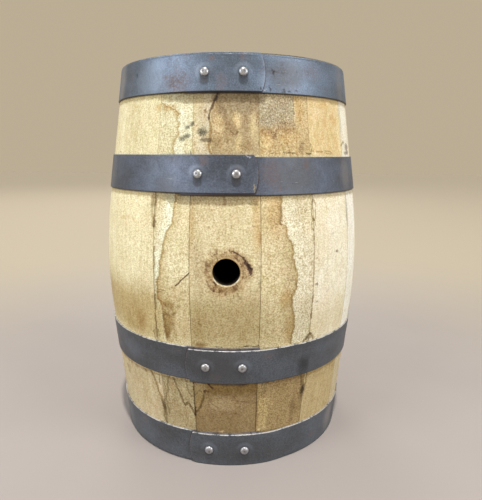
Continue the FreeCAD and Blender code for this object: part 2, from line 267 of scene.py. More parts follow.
class Oak(Sheet):
    """Oak with its growth rings, pores, ray flecks and clouds of colour."""

    def __init__(self, name, seed):
        super().__init__(name)
        self.seed = seed

    def grain(self, across, depth, along, pale, tan, speckled):
        """across, depth and along are solid coordinates of the board that the piece was cut from."""
        board = self.join(across, depth, along)
        wander = (self.noise(board, (45.0, 30.0, 160.0), 2.0, 0.5, self.seed + 1.1) - 0.5) * 9
        combed = across + wander
        clouds = self.noise(board, (26.0, 26.0, 60.0), 3.0, 0.6, self.seed + 0.3)
        self.colour = self.mix(self.step(clouds, 0.34, 0.70), pale, tan)
        hue = self.noise(board, (9.0, 9.0, 15.0), 2.0, 0.5, self.seed + 0.9)
        self.tone(hue, 0.52, 0.70, 0.5, (1.02, 0.95, 0.93))
        self.tone(hue, 0.48, 0.30, 0.5, (0.97, 1.0, 0.90))
        mottle = self.noise(board, (5.0, 5.0, 12.0), 3.0, 0.62, self.seed + 1.7)
        self.tone(mottle, 0.42, 0.72, 0.40, (0.80, 0.74, 0.60))
        streaks = self.noise(self.join(combed, depth * 0.3, along * 0.04), 3.6, 3.0, 0.65, self.seed + 3.0)
        self.tone(streaks, 0.48, 0.76, 0.45, (0.80, 0.72, 0.58))
        pebble = self.noise(board, (1.9, 1.9, 1.25), 2.0, 0.7, self.seed + 2.3)
        coarse = 0.5 + 0.5 * speckled
        self.tone(pebble, 0.44, 0.64, coarse, (0.70, 0.63, 0.50))
        self.tone(pebble, 0.50, 0.32, coarse, (1.17, 1.17, 1.20))
        speckle = self.noise(self.join(combed, depth, along * 0.55), 1.15, 2.0, 0.6, self.seed + 4.0)
        speckle = self.step(speckle, 0.50, 0.70) * (self.step(mottle, 0.30, 0.55) * 0.6 + 0.4)
        self.tint(speckle * speckled, (0.60, 0.51, 0.38))
        pores = self.noise(self.join(combed, depth, along * 0.10), 0.55, 1.0, 0.5, self.seed + 5.0)
        pores = self.step(pores, 0.60, 0.74) * self.step(streaks, 0.36, 0.58)
        self.tint(pores * 0.42, (0.50, 0.37, 0.25))
        flecks = self.noise(self.join(across * 0.35, depth, along), 1.7, 2.0, 0.55, self.seed + 6.0)
        flecks = self.step(flecks, 0.56, 0.70) * self.step(clouds, 0.62, 0.40)
        self.tint(flecks * 0.20, (0.70, 0.60, 0.46))
        self.relief = 0.55 - pores * 0.4 - speckle * 0.25 + flecks * 0.12 + (0.5 - pebble) * 0.8
        self.rough = 0.64 + clouds * 0.16

    def finish_oak(self):
        return self.finish(self.rough, self.relief, 0.24, **{"Specular IOR Level": 0.30})


class Stave(Oak):
    """A stave's wood. Its marks are placed by angle round the cask and by height above the floor."""

    def __init__(self, name, start, span, pale, tan, speckled, seed):
        super().__init__(f"oak_{name}", seed)
        self.span = span
        self.middle = start + span / 2
        inputs = {"Vector": self.place, "Angle": -math.radians(self.middle)}
        x, y, _ = self.split(self.node("VectorRotate", inputs, rotation_type="Z_AXIS").outputs[0])
        self.side = self.math("ARCTAN2", x, 0.0 - y)
        self.grain(self.side * self.from_axis, self.from_axis, self.z, pale, tan, speckled)
        self.flat = self.join(self.side * FACE_RADIUS + (self.middle - LAYOUT_TURN) * ARC, self.z)
        wide = self.shaken(self.flat, 9.0, 2.4, 2.0, 3.3)
        self.ragged = self.shaken(wide, 2.0, 1.25, 2.0, 8.1)
        self.across, self.height, _ = self.split(self.ragged)
        self.breakup = self.noise(self.flat, 1.7, 3.0, 0.7, 12.7)

    def inside(self, value, low, high, fade):
        half = fade / 2
        return self.step(value, low - half, low + half) * self.step(value, high + half, high - half)

    def within(self, corners, fade, side_fade):
        (left, low), (right, high) = corners
        mask = self.inside(self.height, low, high, fade)
        return mask * self.inside(self.across, left * ARC, right * ARC, side_fade)

    def front(self, points):
        """Distance to the +X side of a line that climbs through the points, lowest first."""
        return self.across - self.curve(self.height, [(height, angle * ARC) for angle, height in points])

    def from_centre(self, point, size):
        """Distance from a point as a share of the half width and half height in size."""
        away = self.vector_math("SUBTRACT", self.ragged, (point[0] * ARC, point[1], 0.0))
        away = self.vector_math("MULTIPLY", away, (1 / size[0], 1 / size[1], 0.0))
        return self.vector_math("LENGTH", away)

    def from_runs(self, at, points):
        """Distance from the straight runs between the points."""
        nearest = None
        flat = [Vector((angle * ARC, height, 0.0)) for angle, height in points]
        for start, end in zip(flat, flat[1:]):
            run = end - start
            from_start = self.vector_math("SUBTRACT", at, tuple(start))
            share = self.vector_math("DOT_PRODUCT", from_start, tuple(run / run.length_squared))
            clamped = self.node("Clamp", {0: share}).outputs[0]
            along = self.vector_math("SCALE", tuple(run), scale=clamped)
            away = self.vector_math("DISTANCE", from_start, along)
            nearest = away if nearest is None else self.math("MINIMUM", nearest, away)
        return nearest

    # Kinds of mark, as masks. Points are (angle in degrees, height in millimetres).

    def spot(self, points, size):
        """A ragged patch with this half width and half height."""
        away = self.from_centre(points[0], size) + (self.breakup - 0.5) * 2
        solid = self.step(self.breakup, 0.66, 0.46) * 0.35 + 0.65
        return self.step(away, 1.30, 0.50) * solid

    def cloud(self, points, size):
        """A wide soft patch."""
        return self.step(self.from_centre(points[0], size) + (self.breakup - 0.5) * 0.5, 1.35, 0.30)

    def loop(self, points, size):
        """The thin outline of a long patch."""
        off = abs(self.from_centre(points[0], size) - 1) * min(size)
        return self.step(off + (self.breakup - 0.5) * 0.8, 0.85, 0.3)

    def seam(self, points, width):
        """A thin ragged line that climbs through the points, fainter in places."""
        away = abs(self.front(points)) + (self.breakup - 0.5) * width
        band = self.inside(self.height, points[0][1], points[-1][1], 1.0)
        return self.step(away, width, width * 0.3) * band

    def shade(self, points, reach):
        """A stain on one side of a line, fading out over its reach: to +X, or to -X if reach is negative."""
        away = self.front(points) * math.copysign(1.0, reach)
        reach = abs(reach)
        band = self.inside(self.height, points[0][1], points[-1][1], 2.0)
        return self.step(away, -0.4, 1.0) * self.step(away, reach, reach * 0.1) * band

    def stroke(self, points, width):
        """A ragged line through the points in any direction."""
        away = self.from_runs(self.ragged, points) + (self.breakup - 0.5) * width
        return self.step(away, width, width * 0.3)

    def crack(self, points, width):
        """A clean line through the points."""
        away = self.from_runs(self.flat, points) + (self.breakup - 0.5) * width * 0.5
        return self.step(away, width, width * 0.5)

    def wash(self, points, fade):
        """An even tint between two corners, fading out at its borders."""
        (left, low), (right, high) = points
        if right - left < self.span * 0.95:
            return self.within(points, fade, min(fade, 4.0))
        return self.inside(self.height, low, high, fade)

    def figure(self, points, size):
        """Blotches of about this size between two corners."""
        blotches = self.noise(self.flat, (size, size * 1.8, size), 3.0, 0.65, self.seed + size)
        return self.step(blotches, 0.40, 0.62) * self.within(points, 5.0, 2.0)

    def contour(self, points, size):
        """Wandering lines between two corners, as on a map of hills of this width and height."""
        hills = self.noise(self.ragged, (*size, 1.0), 1.0, 0.5, self.seed + size[0])
        off = abs(self.math("FRACT", hills * 9) - 0.5)
        return self.step(off, 0.16, 0.03) * self.within(points, 6.0, 3.0)

    # What every stave has

    def bung_ring(self):
        """Rust and tannin blown out round the bung hole; on its bore, a painted highlight on the lower half
        and painted shade on the upper half and deeper in.
        """
        off = self.vector_math("SUBTRACT", self.ragged, (-LAYOUT_TURN * ARC, BUNG_HEIGHT, 0.0))
        away = self.vector_math("LENGTH", off)
        sideways, upwards, _ = self.split(off)
        turn = self.math("ARCTAN2", sideways, upwards)
        dots = self.noise(self.join(turn * 4.6, away * 0.24), 1.0, 2.0, 0.6, 41.0)
        from_bore = self.vector_math("LENGTH", self.join(self.x, self.z - BUNG_HEIGHT))
        face = self.step(from_bore, BUNG_RADIUS + 0.5, BUNG_RADIUS + 1)
        self.tint(self.step(away, 29.0, 16.0) * face * 0.55, (0.74, 0.60, 0.46))
        ring = self.inside(away, 15.0, 21.0, 5.0) * face
        self.tint(ring * (self.step(dots, 0.40, 0.62) * 0.65 + 0.15), "brown")
        below = self.step(self.z, BUNG_HEIGHT - 3, BUNG_HEIGHT - 9)
        bore = 1.0 - face
        # painted highlight: the bore's lower half, as if lit from above
        self.tint(bore * below, (1.28, 1.46, 1.85))
        # painted shade on the bore's upper half
        self.tint(bore * (1.0 - below), (0.62, 0.50, 0.38))
        # painted shade deeper in the bore, so that the hole reads dark
        self.tint(bore * self.step(0.0 - self.y, BILGE_RADIUS - 2.2, BILGE_RADIUS - 4.6), (0.03, 0.025, 0.02))

    def joint_dirt(self, dirt_left, dirt_right):
        """Dirt in the joints: for each side, how much in the top, middle and bottom band."""
        uneven = self.step(self.noise(self.flat, (3.0, 14.0, 3.0), 2.0, 0.6, self.seed + 9.0), 0.2, 0.7)
        from_joint = (math.radians(self.span / 2) - abs(self.side)) * self.from_axis
        for side, (top, middle, bottom) in ((-1.0, dirt_left), (1.0, dirt_right)):
            here = self.step(self.side * side, -0.01, 0.01)
            dirt_and_shadow = self.step(self.z, 300.0, 330.0) * (top - middle) + middle
            dirt_and_shadow = dirt_and_shadow + self.step(self.z, 135.0, 105.0) * (bottom - middle)
            self.tint(self.step(from_joint, 0.8, 0.15) * here * (uneven * 0.6 + 0.4) * dirt_and_shadow, "dark")
            self.tint(self.step(from_joint, 4.0, 0.3) * here * uneven * dirt_and_shadow * 0.35, "tan")

    def painted_hoop_shadow(self):
        """Painted shade: a dark line where each hoop's lower edge lies on the wood, and a painted shadow
        under it, reaching further and greyer under the upper hoops' laps.
        """
        angle = self.side * math.degrees(1) + self.middle
        for strip, *_ in HOOPS.values():
            sense = -1.0 if strip.lower else 1.0
            winding = self.math("FLOORED_MODULO", angle * sense - strip.start, 360.0)
            height, rise = strip.lower_edge()
            edge = winding * rise + height
            covered = self.step(self.z, edge + 4, edge + 3)
            # painted shade in the crease under the hoop's lower edge
            self.tint(self.step(self.z, edge - 1.9, edge - 0.5) * covered * 0.75, (0.24, 0.20, 0.15))
            lapped = self.step(winding, strip.lap + 0.4, strip.lap - 0.4) + self.step(winding, 342.0, 360.0)
            lapped = lapped * (0.0 if strip.lower else 1.0)
            reach = 5.0 + 4.5 * lapped
            # painted shadow of the hoop on the wood below it, deeper under the lap's double layer
            painted_shadow = self.step(self.height, edge - reach - 1.4, edge - reach + 1.4) * covered
            self.tint(painted_shadow * 0.80, (0.62, 0.56, 0.46))
            self.tint(painted_shadow * lapped * 0.80, (0.66, 0.66, 0.68))

    def ends(self):
        """Iron-blued ends, with painted shade where they meet the hoop edges and the floor; the toasted
        inside and end grain.
        """
        off = abs(self.z - MIDDLE)
        # the outer face's last millimetres at each end: iron stain and painted shade
        outer = self.step(self.from_axis, END_RADIUS - 3, END_RADIUS - 0.6)
        self.tint(self.step(off, MIDDLE - 2.4, MIDDLE - 0.9) * outer * 0.9, (0.17, 0.17, 0.20))
        skin = BILGE_RADIUS - off * off * ((BILGE_RADIUS - END_RADIUS) / MIDDLE ** 2)
        deep = self.step(skin - self.from_axis, STAVE_THICKNESS * 0.6, STAVE_THICKNESS * 0.85)
        self.tint(deep * self.step(off, MIDDLE - 42, MIDDLE - 48) * 0.95, (0.20, 0.13, 0.09))
        end_grain = self.step(self.upright(), 0.35, 0.6)
        rays = self.noise(self.join(self.side * 8, self.from_axis, 0.0), 0.8, 2.0, 0.5, self.seed)
        self.tint(end_grain * 0.8, (0.72, 0.62, 0.48))
        self.tint(end_grain * self.step(rays, 0.5, 0.65) * 0.5, (0.72, 0.60, 0.44))


LINE_LEFT = (-25.6, 141, -26.2, 152, -26, 165, -26.4, 179, -27.5, 183, -28.6, 189, -28.6, 196, -28.3, 209,
    -27.2, 213, -26.9, 225, -25.8, 238, -25.2, 249, -24.2, 256, -22.9, 262, -21.9, 267, -21.6, 274, -21,
    283, -20.8, 297)
LINE_RIGHT = (26, 139, 26.3, 146, 26.7, 155, 27, 164, 26.5, 172, 25.4, 182, 25.2, 189, 26, 195, 26.7, 200,
    27, 210, 27, 219, 26, 224, 25.8, 229, 24.9, 232, 25.2, 238, 25, 243, 24.4, 249, 23.3, 253, 22.6, 259,
    22.1, 265, 20, 268, 20.2, 275, 20.7, 283, 20.4, 290, 20.2, 298)
LINE_TOP_LEFT = (-22, 335, -22.6, 343, -22.1, 349, -20.9, 353, -20.2, 358, -21, 361, -20.3, 366.5, -21.4,
    371, -20.7, 376, -22.6, 380.5, -27, 384, -30.5, 388)
LINE_TOP_BUNG = (-6.8, 335, -7.8, 343, -7.3, 350, -7, 360, -7.3, 366, -7.9, 372, -7.6, 378, -6.3, 384, -4.9,
    390, -4.3, 397)

# Marks on each stave, by kind. A row is a size in millimetres, a strength, a tint, and each point's angle and
# height.
# The washes over the middle band's lower part (from height 139) and over the bottom band (36 to 100) darken
# the wood downwards: partly stain, partly painted shade for the light from above.
MARKS = {
    "stave_12": {
        "stroke": [(1.4, 0.6, "brown", -60, 338, -57, 338)],
        "spot": [((4, 3), 0.55, "brown", -57, 87), ((3.4, 2.6), 0.6, "brown", -56, 81)],
        "wash": [(36, 0.8, (0.58, 0.47, 0.31), -81, 139, -54, 196),
            (4, 0.62, (0.6, 0.51, 0.44), -81, 36, -55, 100)],
        "figure": [(8, 0.25, "tan", -80, 142, -56, 190)],
    },
    "stave_13": {
        "wash": [(3, 0.6, (0.86, 0.85, 0.78), -55, 334, -29, 398),
            (36, 0.8, (0.565, 0.455, 0.27), -55, 139, -29, 196),
            (4, 0.62, (0.6, 0.51, 0.46), -55, 36, -29, 100)],
        "cloud": [((11, 11), 0.5, "tan", -46.5, 150), ((9, 16), 0.55, (0.76, 0.62, 0.42), -38.5, 158),
            ((9, 3.6), 0.8, (0.82, 0.66, 0.46), -30, 383)],
        "stroke": [(2.2, 0.35, "tan", -40, 153, -37, 160, -35.5, 168),
            (1.3, 0.35, "tan", -36.9, 197, -37, 192, -35.4, 189, -32.6, 191),
            (2.4, 0.3, "ochre", -52, 266, -45, 269, -40, 265, -38, 262),
            (1.3, 0.45, (0.86, 0.72, 0.56), -36, 260, -33.4, 264.5, -32.4, 268),
            (1.6, 0.3, "ochre", -40, 255, -38, 257), (2.2, 0.22, "ochre", -50, 392, -46, 386, -41, 384)],
        "figure": [(5, 0.3, "rim", -54, 142, -34, 178), (8, 0.3, "rim", -55, 38, -33, 98)],
        "spot": [((4, 2.4), 0.55, "brown", -46.5, 96.5), ((3.4, 2), 0.6, "brown", -40, 97)],
    },
    "stave_14": {
        "wash": [(3, 0.6, (0.92, 0.99, 1.02), -30, 334, -13, 398),
            (2, 0.5, "ochre", -20.5, 350.5, -19, 354), (40, 0.7, (0.69, 0.6, 0.47), -30, 139, -13, 206),
            (26, 0.75, (0.86, 0.76, 0.54), -30, 139, -26.4, 186),
            (4, 0.9, (0.53, 0.475, 0.4), -30, 36, -13, 100)],
        "shade": [(22, 0.8, "bleach", *LINE_TOP_LEFT), (-6, 0.6, "tan", *LINE_TOP_LEFT),
            (-18, 0.85, (1.07, 1.19, 1.42), *LINE_LEFT), (12, 0.55, "tan", *LINE_LEFT),
            (3.4, 0.9, "rim", *LINE_LEFT)],
        "seam": [(1.6, 0.8, "rim", *LINE_TOP_LEFT), (0.9, 0.45, "moss", *LINE_LEFT), (1.7, 0.7, "moss",
            -27.8, 52, -28.2, 62, -28.8, 70, -28.2, 76, -27.2, 82, -27, 90, -25.9, 99)],
        "cloud": [((10, 3.6), 0.9, (0.8, 0.63, 0.43), -25.5, 382.5),
            ((3.4, 4.5), 0.75, (0.82, 0.66, 0.46), -21.8, 377),
            ((6, 12), 0.5, (1.04, 1.08, 1.16), -23.2, 283), ((6.5, 6), 0.7, (0.66, 0.55, 0.37), -23.4, 183),
            ((6.5, 5), 0.8, (0.62, 0.52, 0.34), -23.4, 165.5),
            ((4, 8.5), 0.9, (0.56, 0.46, 0.29), -24.8, 153), ((5, 26), 0.45, (1.1, 1.12, 1.18), -16.8, 165),
            ((4.8, 7.5), 0.55, (1.16, 1.18, 1.22), -26.6, 73), ((4, 8), 0.5, (1.02, 0.9, 0.82), -24.4, 88)],
        "figure": [(1.6, 0.4, "rim", -29, 373, -20.5, 388),
            (5, 0.8, (0.58, 0.49, 0.31), -25.6, 141, -20.5, 184),
            (2.6, 0.35, (0.7, 0.56, 0.4), -27, 42, -15, 66)],
        "spot": [((1.1, 0.9), 0.6, "dark", -23.8, 383.5),
            ((2.3, 2.2), 0.6, (0.55, 0.48, 0.32), -19, 181.5)],
        "stroke": [(0.9, 0.35, "rim", -20.4, 358.5, -17.4, 359),
            (1.1, 0.7, "moss", -28.6, 198, -26, 196.2, -23.5, 198, -21, 201.5),
            (1, 0.65, "moss", -28.8, 193.4, -26.4, 194.4), (0.9, 0.5, "moss", -28.4, 209, -26.4, 208),
            (2, 0.6, (0.62, 0.52, 0.34), -28, 186.5, -26.4, 183.5, -25, 181),
            (2.4, 0.75, (0.56, 0.46, 0.29), -25.6, 170, -23, 171.5, -20.5, 173),
            (1.1, 0.5, "rim", -28, 66, -25.8, 65.5, -24.6, 69), (1.9, 0.85, (0.38, 0.29, 0.16), -24, 98,
            -22.5, 90, -21.2, 83, -20.3, 76, -19.6, 71, -18.5, 68.5, -17.5, 72, -16.8, 69.5, -16, 65, -15.2,
            61, -14.5, 58), (1.4, 0.7, "moss", -18, 100, -17.7, 94, -17, 86, -16.2, 81, -14.4, 80.5),
            (1, 0.6, "moss", -17.4, 74, -16.6, 68, -15.4, 64)],
        "crack": [(0.95, 0.95, (0.2, 0.14, 0.09), -20, 203.6, -18.8, 206, -17.8, 209.5, -16.3, 213, -15.1,
            216, -14.2, 218.6)],
        "contour": [((9, 12), 0.55, "moss", -28.5, 64, -14.6, 99)],
    },
    "bung_stave": {
        "shade": [(-19, 0.6, (0.84, 0.88, 1.1), *LINE_TOP_BUNG)],
        "wash": [(5, 0.45, "ochre", -9.3, 338, -7.4, 358), (3, 0.72, (0.66, 0.58, 0.5), -6.9, 334, 13, 398),
            (10, 0.7, (0.76, 0.78, 0.84), -4.4, 374, 13, 398),
            (40, 0.85, (0.6, 0.54, 0.41), -15, 139, 13, 196),
            (4, 0.94, (0.38, 0.295, 0.205), -15, 36, 13, 100),
            (8, 0.75, (0.8, 0.74, 0.45), -9, 86, 13, 101), (6, 0.6, (1.3, 1.34, 1.3), -13.9, 62, -10, 100)],
        "cloud": [((2.6, 8), 0.45, "ochre", -9.6, 373), ((20, 7), 0.6, (0.74, 0.72, 0.72), 6, 383),
            ((4.4, 12), 0.7, (0.68, 0.62, 0.6), 7, 364), ((2.2, 9), 0.5, (1.22, 1.22, 1.18), -2.5, 345),
            ((6.4, 36), 0.75, (0.86, 0.72, 0.54), 11, 270), ((3.6, 8), 0.7, (0.8, 0.64, 0.44), 12.3, 253),
            ((7.5, 26), 0.62, (0.76, 0.71, 0.68), -11.2, 226), ((3, 24), 0.45, "ochre", -13.4, 268),
            ((17, 8), 0.4, (0.78, 0.64, 0.48), -0.5, 203), ((4, 40), 0.4, (1.16, 1.18, 1.22), -13.6, 185),
            ((3.6, 26), 0.45, (0.76, 0.66, 0.46), -11, 165), ((4, 14), 0.4, (0.76, 0.66, 0.46), 6, 152),
            ((7.5, 3.4), 0.8, (0.5, 0.38, 0.24), -10.5, 142), ((8, 12), 0.55, (1.22, 1.3, 1.35), 9.5, 62),
            ((3.4, 9), 0.5, (0.74, 0.7, 0.44), -12, 77), ((7, 3.6), 0.75, (0.34, 0.3, 0.22), 6.5, 97.5)],
        "stroke": [(6, 0.7, (0.64, 0.56, 0.5), -3.6, 383, -1.7, 372, 0.2, 363, 2.6, 357.5),
            (1, 0.75, "brown", 0.8, 357.4, 2.4, 355.2, 4, 357.4),
            (1.9, 0.92, (0.22, 0.16, 0.12), -7.9, 370, -7.6, 377, -6.3, 384, -5, 390, -4.4, 397),
            (3.4, 0.7, (0.34, 0.26, 0.2), -5.2, 388, -4.2, 396),
            (2.3, 0.6, "rusty", -8, 230, -7.5, 226, -7.9, 221.5),
            (1.2, 0.55, "rusty", -6.4, 230, -6.6, 226),
            (1.6, 0.65, "rusty", -7.8, 211, -7.4, 206.5, -6.2, 203.6, -5.2, 201),
            (1.4, 0.4, "rim", -6.8, 218, -7, 212),
            (1.1, 0.75, "rusty", -6.1, 243, -6, 239.5, -5.6, 236.6, -4.7, 237.4),
            (1.4, 0.65, "rusty", -4.1, 242, -3.9, 237.5), (1, 0.4, "rusty", -1.5, 243.5, -1.3, 240),
            (1.3, 0.85, "dark", 0.8, 243, 1.1, 240.2), (1, 0.65, "rusty", 2, 244, 2.2, 241),
            (0.9, 0.6, "rusty", -7.6, 232, -7.5, 229.4), (0.9, 0.55, "rusty", -4.7, 231.5, -4.7, 229),
            (0.9, 0.6, "dark", -3.7, 234.5, -3.7, 232), (1.2, 0.75, "rusty", -5.2, 204.6, -5, 200.5),
            (1.5, 0.8, "rusty", -3.1, 203, -3.1, 199.6), (1.3, 0.65, "rusty", -0.7, 201, -0.8, 196.6),
            (1.6, 0.65, "rusty", 3.4, 208.5, 3.9, 206), (1.1, 0.6, "rusty", 2.1, 198, 2.2, 195),
            (1.1, 0.6, "rusty", 3.9, 199, 4, 195.6),
            (1.2, 0.6, "rusty", 2.8, 234.6, 4.6, 230.4, 5.5, 225, 5.8, 219, 5.2, 213.5),
            (0.9, 0.4, "rusty", 1.4, 237, 3.8, 234, 5.6, 229, 6.4, 223),
            (5, 0.45, (0.56, 0.4, 0.3), 3, 239.6, 5.6, 235.4, 7.4, 229, 8.5, 222.5, 8.4, 217.5),
            (1.5, 0.9, (0.16, 0.09, 0.1), 1.6, 241.4, 2.8, 240.2, 4.2, 238.2, 5.6, 235.2, 6.6, 231.6),
            (2.5, 0.93, (0.13, 0.06, 0.08), 6.8, 230.5, 7.6, 226.5, 8.2, 222.5, 8.3, 218.5),
            (2.4, 0.9, (0.13, 0.06, 0.08), 7.6, 228, 8.6, 224), (1.1, 0.85, "dark", 4.8, 140.5, 12.5, 141),
            (0.9, 0.75, "dark", -4.5, 140.2, -2, 140.2),
            (1.2, 0.45, "brown", -7.8, 80, -6.4, 73, -4.6, 70, -3.2, 66),
            (1.2, 0.5, "brown", -2.4, 63, 0.5, 62.4, 4.6, 62, 6.2, 60.5),
            (1.3, 0.45, "brown", 1.6, 84, 3.4, 79.5, 5.8, 76.5, 9, 76),
            (1.2, 0.75, "moss", -13.9, 83, -12.8, 87, -11.7, 89.4, -11.1, 86.6),
            (1.3, 0.6, (0.4, 0.3, 0.2), -10.3, 99, -10.4, 93, -9.9, 88), (2.3, 0.85, (0.34, 0.29, 0.16),
            -14, 62.5, -12.9, 64.4, -11.8, 70, -11, 76, -10.2, 82, -9.5, 87.5),
            (2.2, 0.9, (0.26, 0.12, 0.13), -8.2, 99, -7.6, 95, -6.6, 92),
            (1.6, 0.75, (0.42, 0.2, 0.18), -9.4, 88.5, -8.2, 87.4)],
        "figure": [(4, 0.5, (0.72, 0.64, 0.52), -6.5, 336, 13, 395),
            (1.2, 0.4, (0.68, 0.6, 0.52), -6.5, 336, 13, 395),
            (7, 0.35, (0.66, 0.52, 0.34), -8, 84, 13, 100)],
        "spot": [((6.4, 13), 0.9, (1.48, 1.52, 1.62), -4, 365),
            ((4.6, 9), 0.9, (1.38, 1.36, 1.3), 3.2, 369.5), ((4.2, 17), 0.75, (1.32, 1.34, 1.32), 10, 366),
            ((2.8, 9), 0.8, (1.32, 1.32, 1.24), 4, 346), ((6, 4.6), 0.8, (0.68, 0.6, 0.5), -4.6, 348.5),
            ((6, 6), 0.75, (0.7, 0.62, 0.5), 7.4, 345), ((2.2, 1.6), 0.75, "brown", -9.3, 378),
            ((1.6, 5), 0.65, "brown", -1.3, 291), ((3.2, 3.4), 0.8, (0.34, 0.2, 0.16), 2.3, 203.8),
            ((18, 9.5), 0.95, (1.34, 1.46, 1.7), -1.6, 73),
            ((3.4, 1.5), 0.85, (2.1, 2.3, 2.6), -3.2, 40.8)],
        "seam": [(2.1, 0.85, (0.52, 0.4, 0.26), *LINE_TOP_BUNG[:12])],
        "crack": [(1.3, 0.9, (0.16, 0.1, 0.08), -4.9, 210, -4.3, 207.4)],
        "loop": [((17, 8.5), 0.45, (0.62, 0.5, 0.36), -1.6, 73)],
        "contour": [((17, 8), 0.55, (0.66, 0.54, 0.38), -9, 42, 12.6, 96)],
    },
    "stave_01": {
        "wash": [(5, 0.6, (0.88, 0.79, 0.64), 12, 334, 29, 363),
            (3, 0.75, (0.83, 0.73, 0.59), 27.9, 334, 36, 398),
            (16, 0.85, (0.74, 0.76, 0.84), 12, 370, 27.6, 397),
            (44, 0.7, (0.71, 0.68, 0.6), 12, 139, 35, 185), (4, 0.92, (0.48, 0.39, 0.27), 12, 36, 35, 100)],
        "cloud": [((6, 14), 0.6, (0.92, 0.76, 0.54), 30.8, 380),
            ((19, 15), 0.75, (0.84, 0.82, 0.76), 27, 285), ((11, 24), 0.65, (0.86, 0.72, 0.54), 17, 277),
            ((8, 11), 0.7, (0.76, 0.62, 0.4), 22.6, 190), ((5.4, 18), 0.6, (0.76, 0.64, 0.42), 24.8, 158),
            ((3, 17), 0.75, (0.56, 0.5, 0.42), 29.7, 60), ((6, 14), 0.45, (0.84, 0.84, 0.74), 32.6, 62)],
        "spot": [((13, 9), 0.75, (0.78, 0.8, 0.9), 16.5, 366), ((12, 6), 0.85, (0.7, 0.6, 0.53), 24.2, 364),
            ((7, 4.5), 0.7, (0.74, 0.62, 0.5), 15, 358), ((5.5, 8), 0.75, (1.2, 1.18, 1.12), 15.4, 349),
            ((8, 6), 0.65, (1.16, 1.13, 1.06), 24.5, 352),
            ((3.2, 3.2), 0.75, (0.4, 0.28, 0.26), 18.5, 353.4),
            ((2.2, 1.2), 0.6, (0.5, 0.5, 0.46), 22.8, 212),
            ((2.8, 1.8), 0.55, (0.5, 0.5, 0.46), 24.8, 209.4),
            ((1.4, 3.6), 0.65, (0.46, 0.45, 0.4), 26.4, 204.5), ((3, 2.6), 0.6, (1.5, 1.5, 1.45), 19, 72.5),
            ((2, 1.4), 0.85, (2.1, 2.2, 2.5), 13.7, 41)],
        "figure": [(3, 0.6, (0.76, 0.65, 0.5), 12, 335, 28, 364),
            (1.1, 0.85, (0.46, 0.43, 0.42), 12, 364, 27.8, 397),
            (0.9, 0.65, (1.3, 1.3, 1.3), 12, 364, 27.8, 397),
            (8, 0.35, (0.7, 0.62, 0.56), 12, 355, 27.5, 397), (3, 0.35, (0.8, 0.68, 0.5), 12, 336, 35, 362),
            (1.2, 0.8, (1.62, 1.7, 1.72), 13, 42, 17.4, 79)],
        "stroke": [(1.3, 0.75, (0.3, 0.24, 0.2), 27.8, 394, 27.6, 376),
            (1.8, 0.6, (0.46, 0.34, 0.3), 16.2, 357.5, 18.4, 357.8, 19.6, 359.5),
            (1.1, 0.75, "dark", 22, 338.4, 24.6, 337.4, 28, 337.8),
            (0.9, 0.6, "brown", 16, 337.6, 20, 337.2),
            (1.7, 0.6, (0.42, 0.38, 0.3), 20.2, 285, 20.6, 279, 20.1, 270),
            (1.1, 0.6, "brown", 17.8, 267.6, 20.4, 268), (0.8, 0.55, "dark", 14.5, 98, 14.4, 82),
            (0.7, 0.55, "dark", 15.6, 98, 15.4, 84), (0.7, 0.5, "dark", 16.6, 98, 16, 86),
            (0.8, 0.5, "brown", 27.5, 50, 31, 44)],
        "shade": [(60, 0.95, (1.17, 1.28, 1.56), *LINE_RIGHT), (-20, 0.35, "tan", *LINE_RIGHT),
            (-3.6, 0.85, "rim", *LINE_RIGHT)],
        "seam": [(1.1, 0.6, "moss", *LINE_RIGHT)],
        "contour": [((6, 14), 0.22, (0.66, 0.54, 0.38), 17, 42, 34, 98)],
    },
    "stave_02": {
        "wash": [(3, 0.75, (0.83, 0.68, 0.4), 34, 334, 60, 398),
            (5, 0.7, (1.08, 1.12, 1.16), 55.4, 338, 60, 394),
            (50, 0.65, (0.775, 0.69, 0.52), 34, 139, 60, 170),
            (4, 0.85, (0.58, 0.465, 0.26), 34, 36, 60, 100)],
        "cloud": [((6, 13), 0.45, (1.08, 1.1, 1.16), 38, 377), ((12, 4.5), 0.5, "ochre", 43.5, 388),
            ((7, 9), 0.45, "ochre", 52, 374)],
        "figure": [(6, 0.4, "ochre", 35, 338, 56, 394), (7, 0.3, "tan", 36, 38, 59, 99)],
        "stroke": [(1, 0.75, (0.44, 0.36, 0.3), 36, 340, 41, 339.2, 46, 339.8, 49, 338.6),
            (1, 0.8, (1.2, 1.3, 1.6), 36, 337.8, 40, 337.4), (1.1, 0.6, "brown", 41.5, 337.8, 48, 337)],
        "spot": [((1.9, 1.9), 0.8, "dark", 48.8, 232), ((1.8, 1.4), 0.4, "grey", 46, 252.5),
            ((1.8, 1.2), 0.5, "brown", 36.5, 228.8), ((1.8, 1.6), 0.85, (0.28, 0.25, 0.2), 36.6, 200.4),
            ((2.6, 1.3), 0.8, (0.34, 0.26, 0.2), 37.2, 180.8), ((2.8, 1.5), 0.4, "grey", 43.5, 191),
            ((2.2, 1.4), 0.35, "grey", 46.5, 194)],
    },
    "stave_03": {
        "wash": [(3, 0.5, (0.84, 0.8, 0.66), 59, 334, 85, 398),
            (10, 0.8, (0.86, 0.8, 0.66), 72, -5, 90, 440), (3, 0.8, (0.84, 0.76, 0.6), 59, 400, 86, 440),
            (4, 0.85, (0.59, 0.49, 0.3), 59, 36, 85, 100)],
        "spot": [((8, 5), 0.88, (0.26, 0.22, 0.22), 67, 345),
            ((11, 2.4), 0.88, (0.26, 0.22, 0.22), 66, 338.5)],
        "figure": [(9, 0.2, "tan", 60, 140, 84, 296)],
    },
}

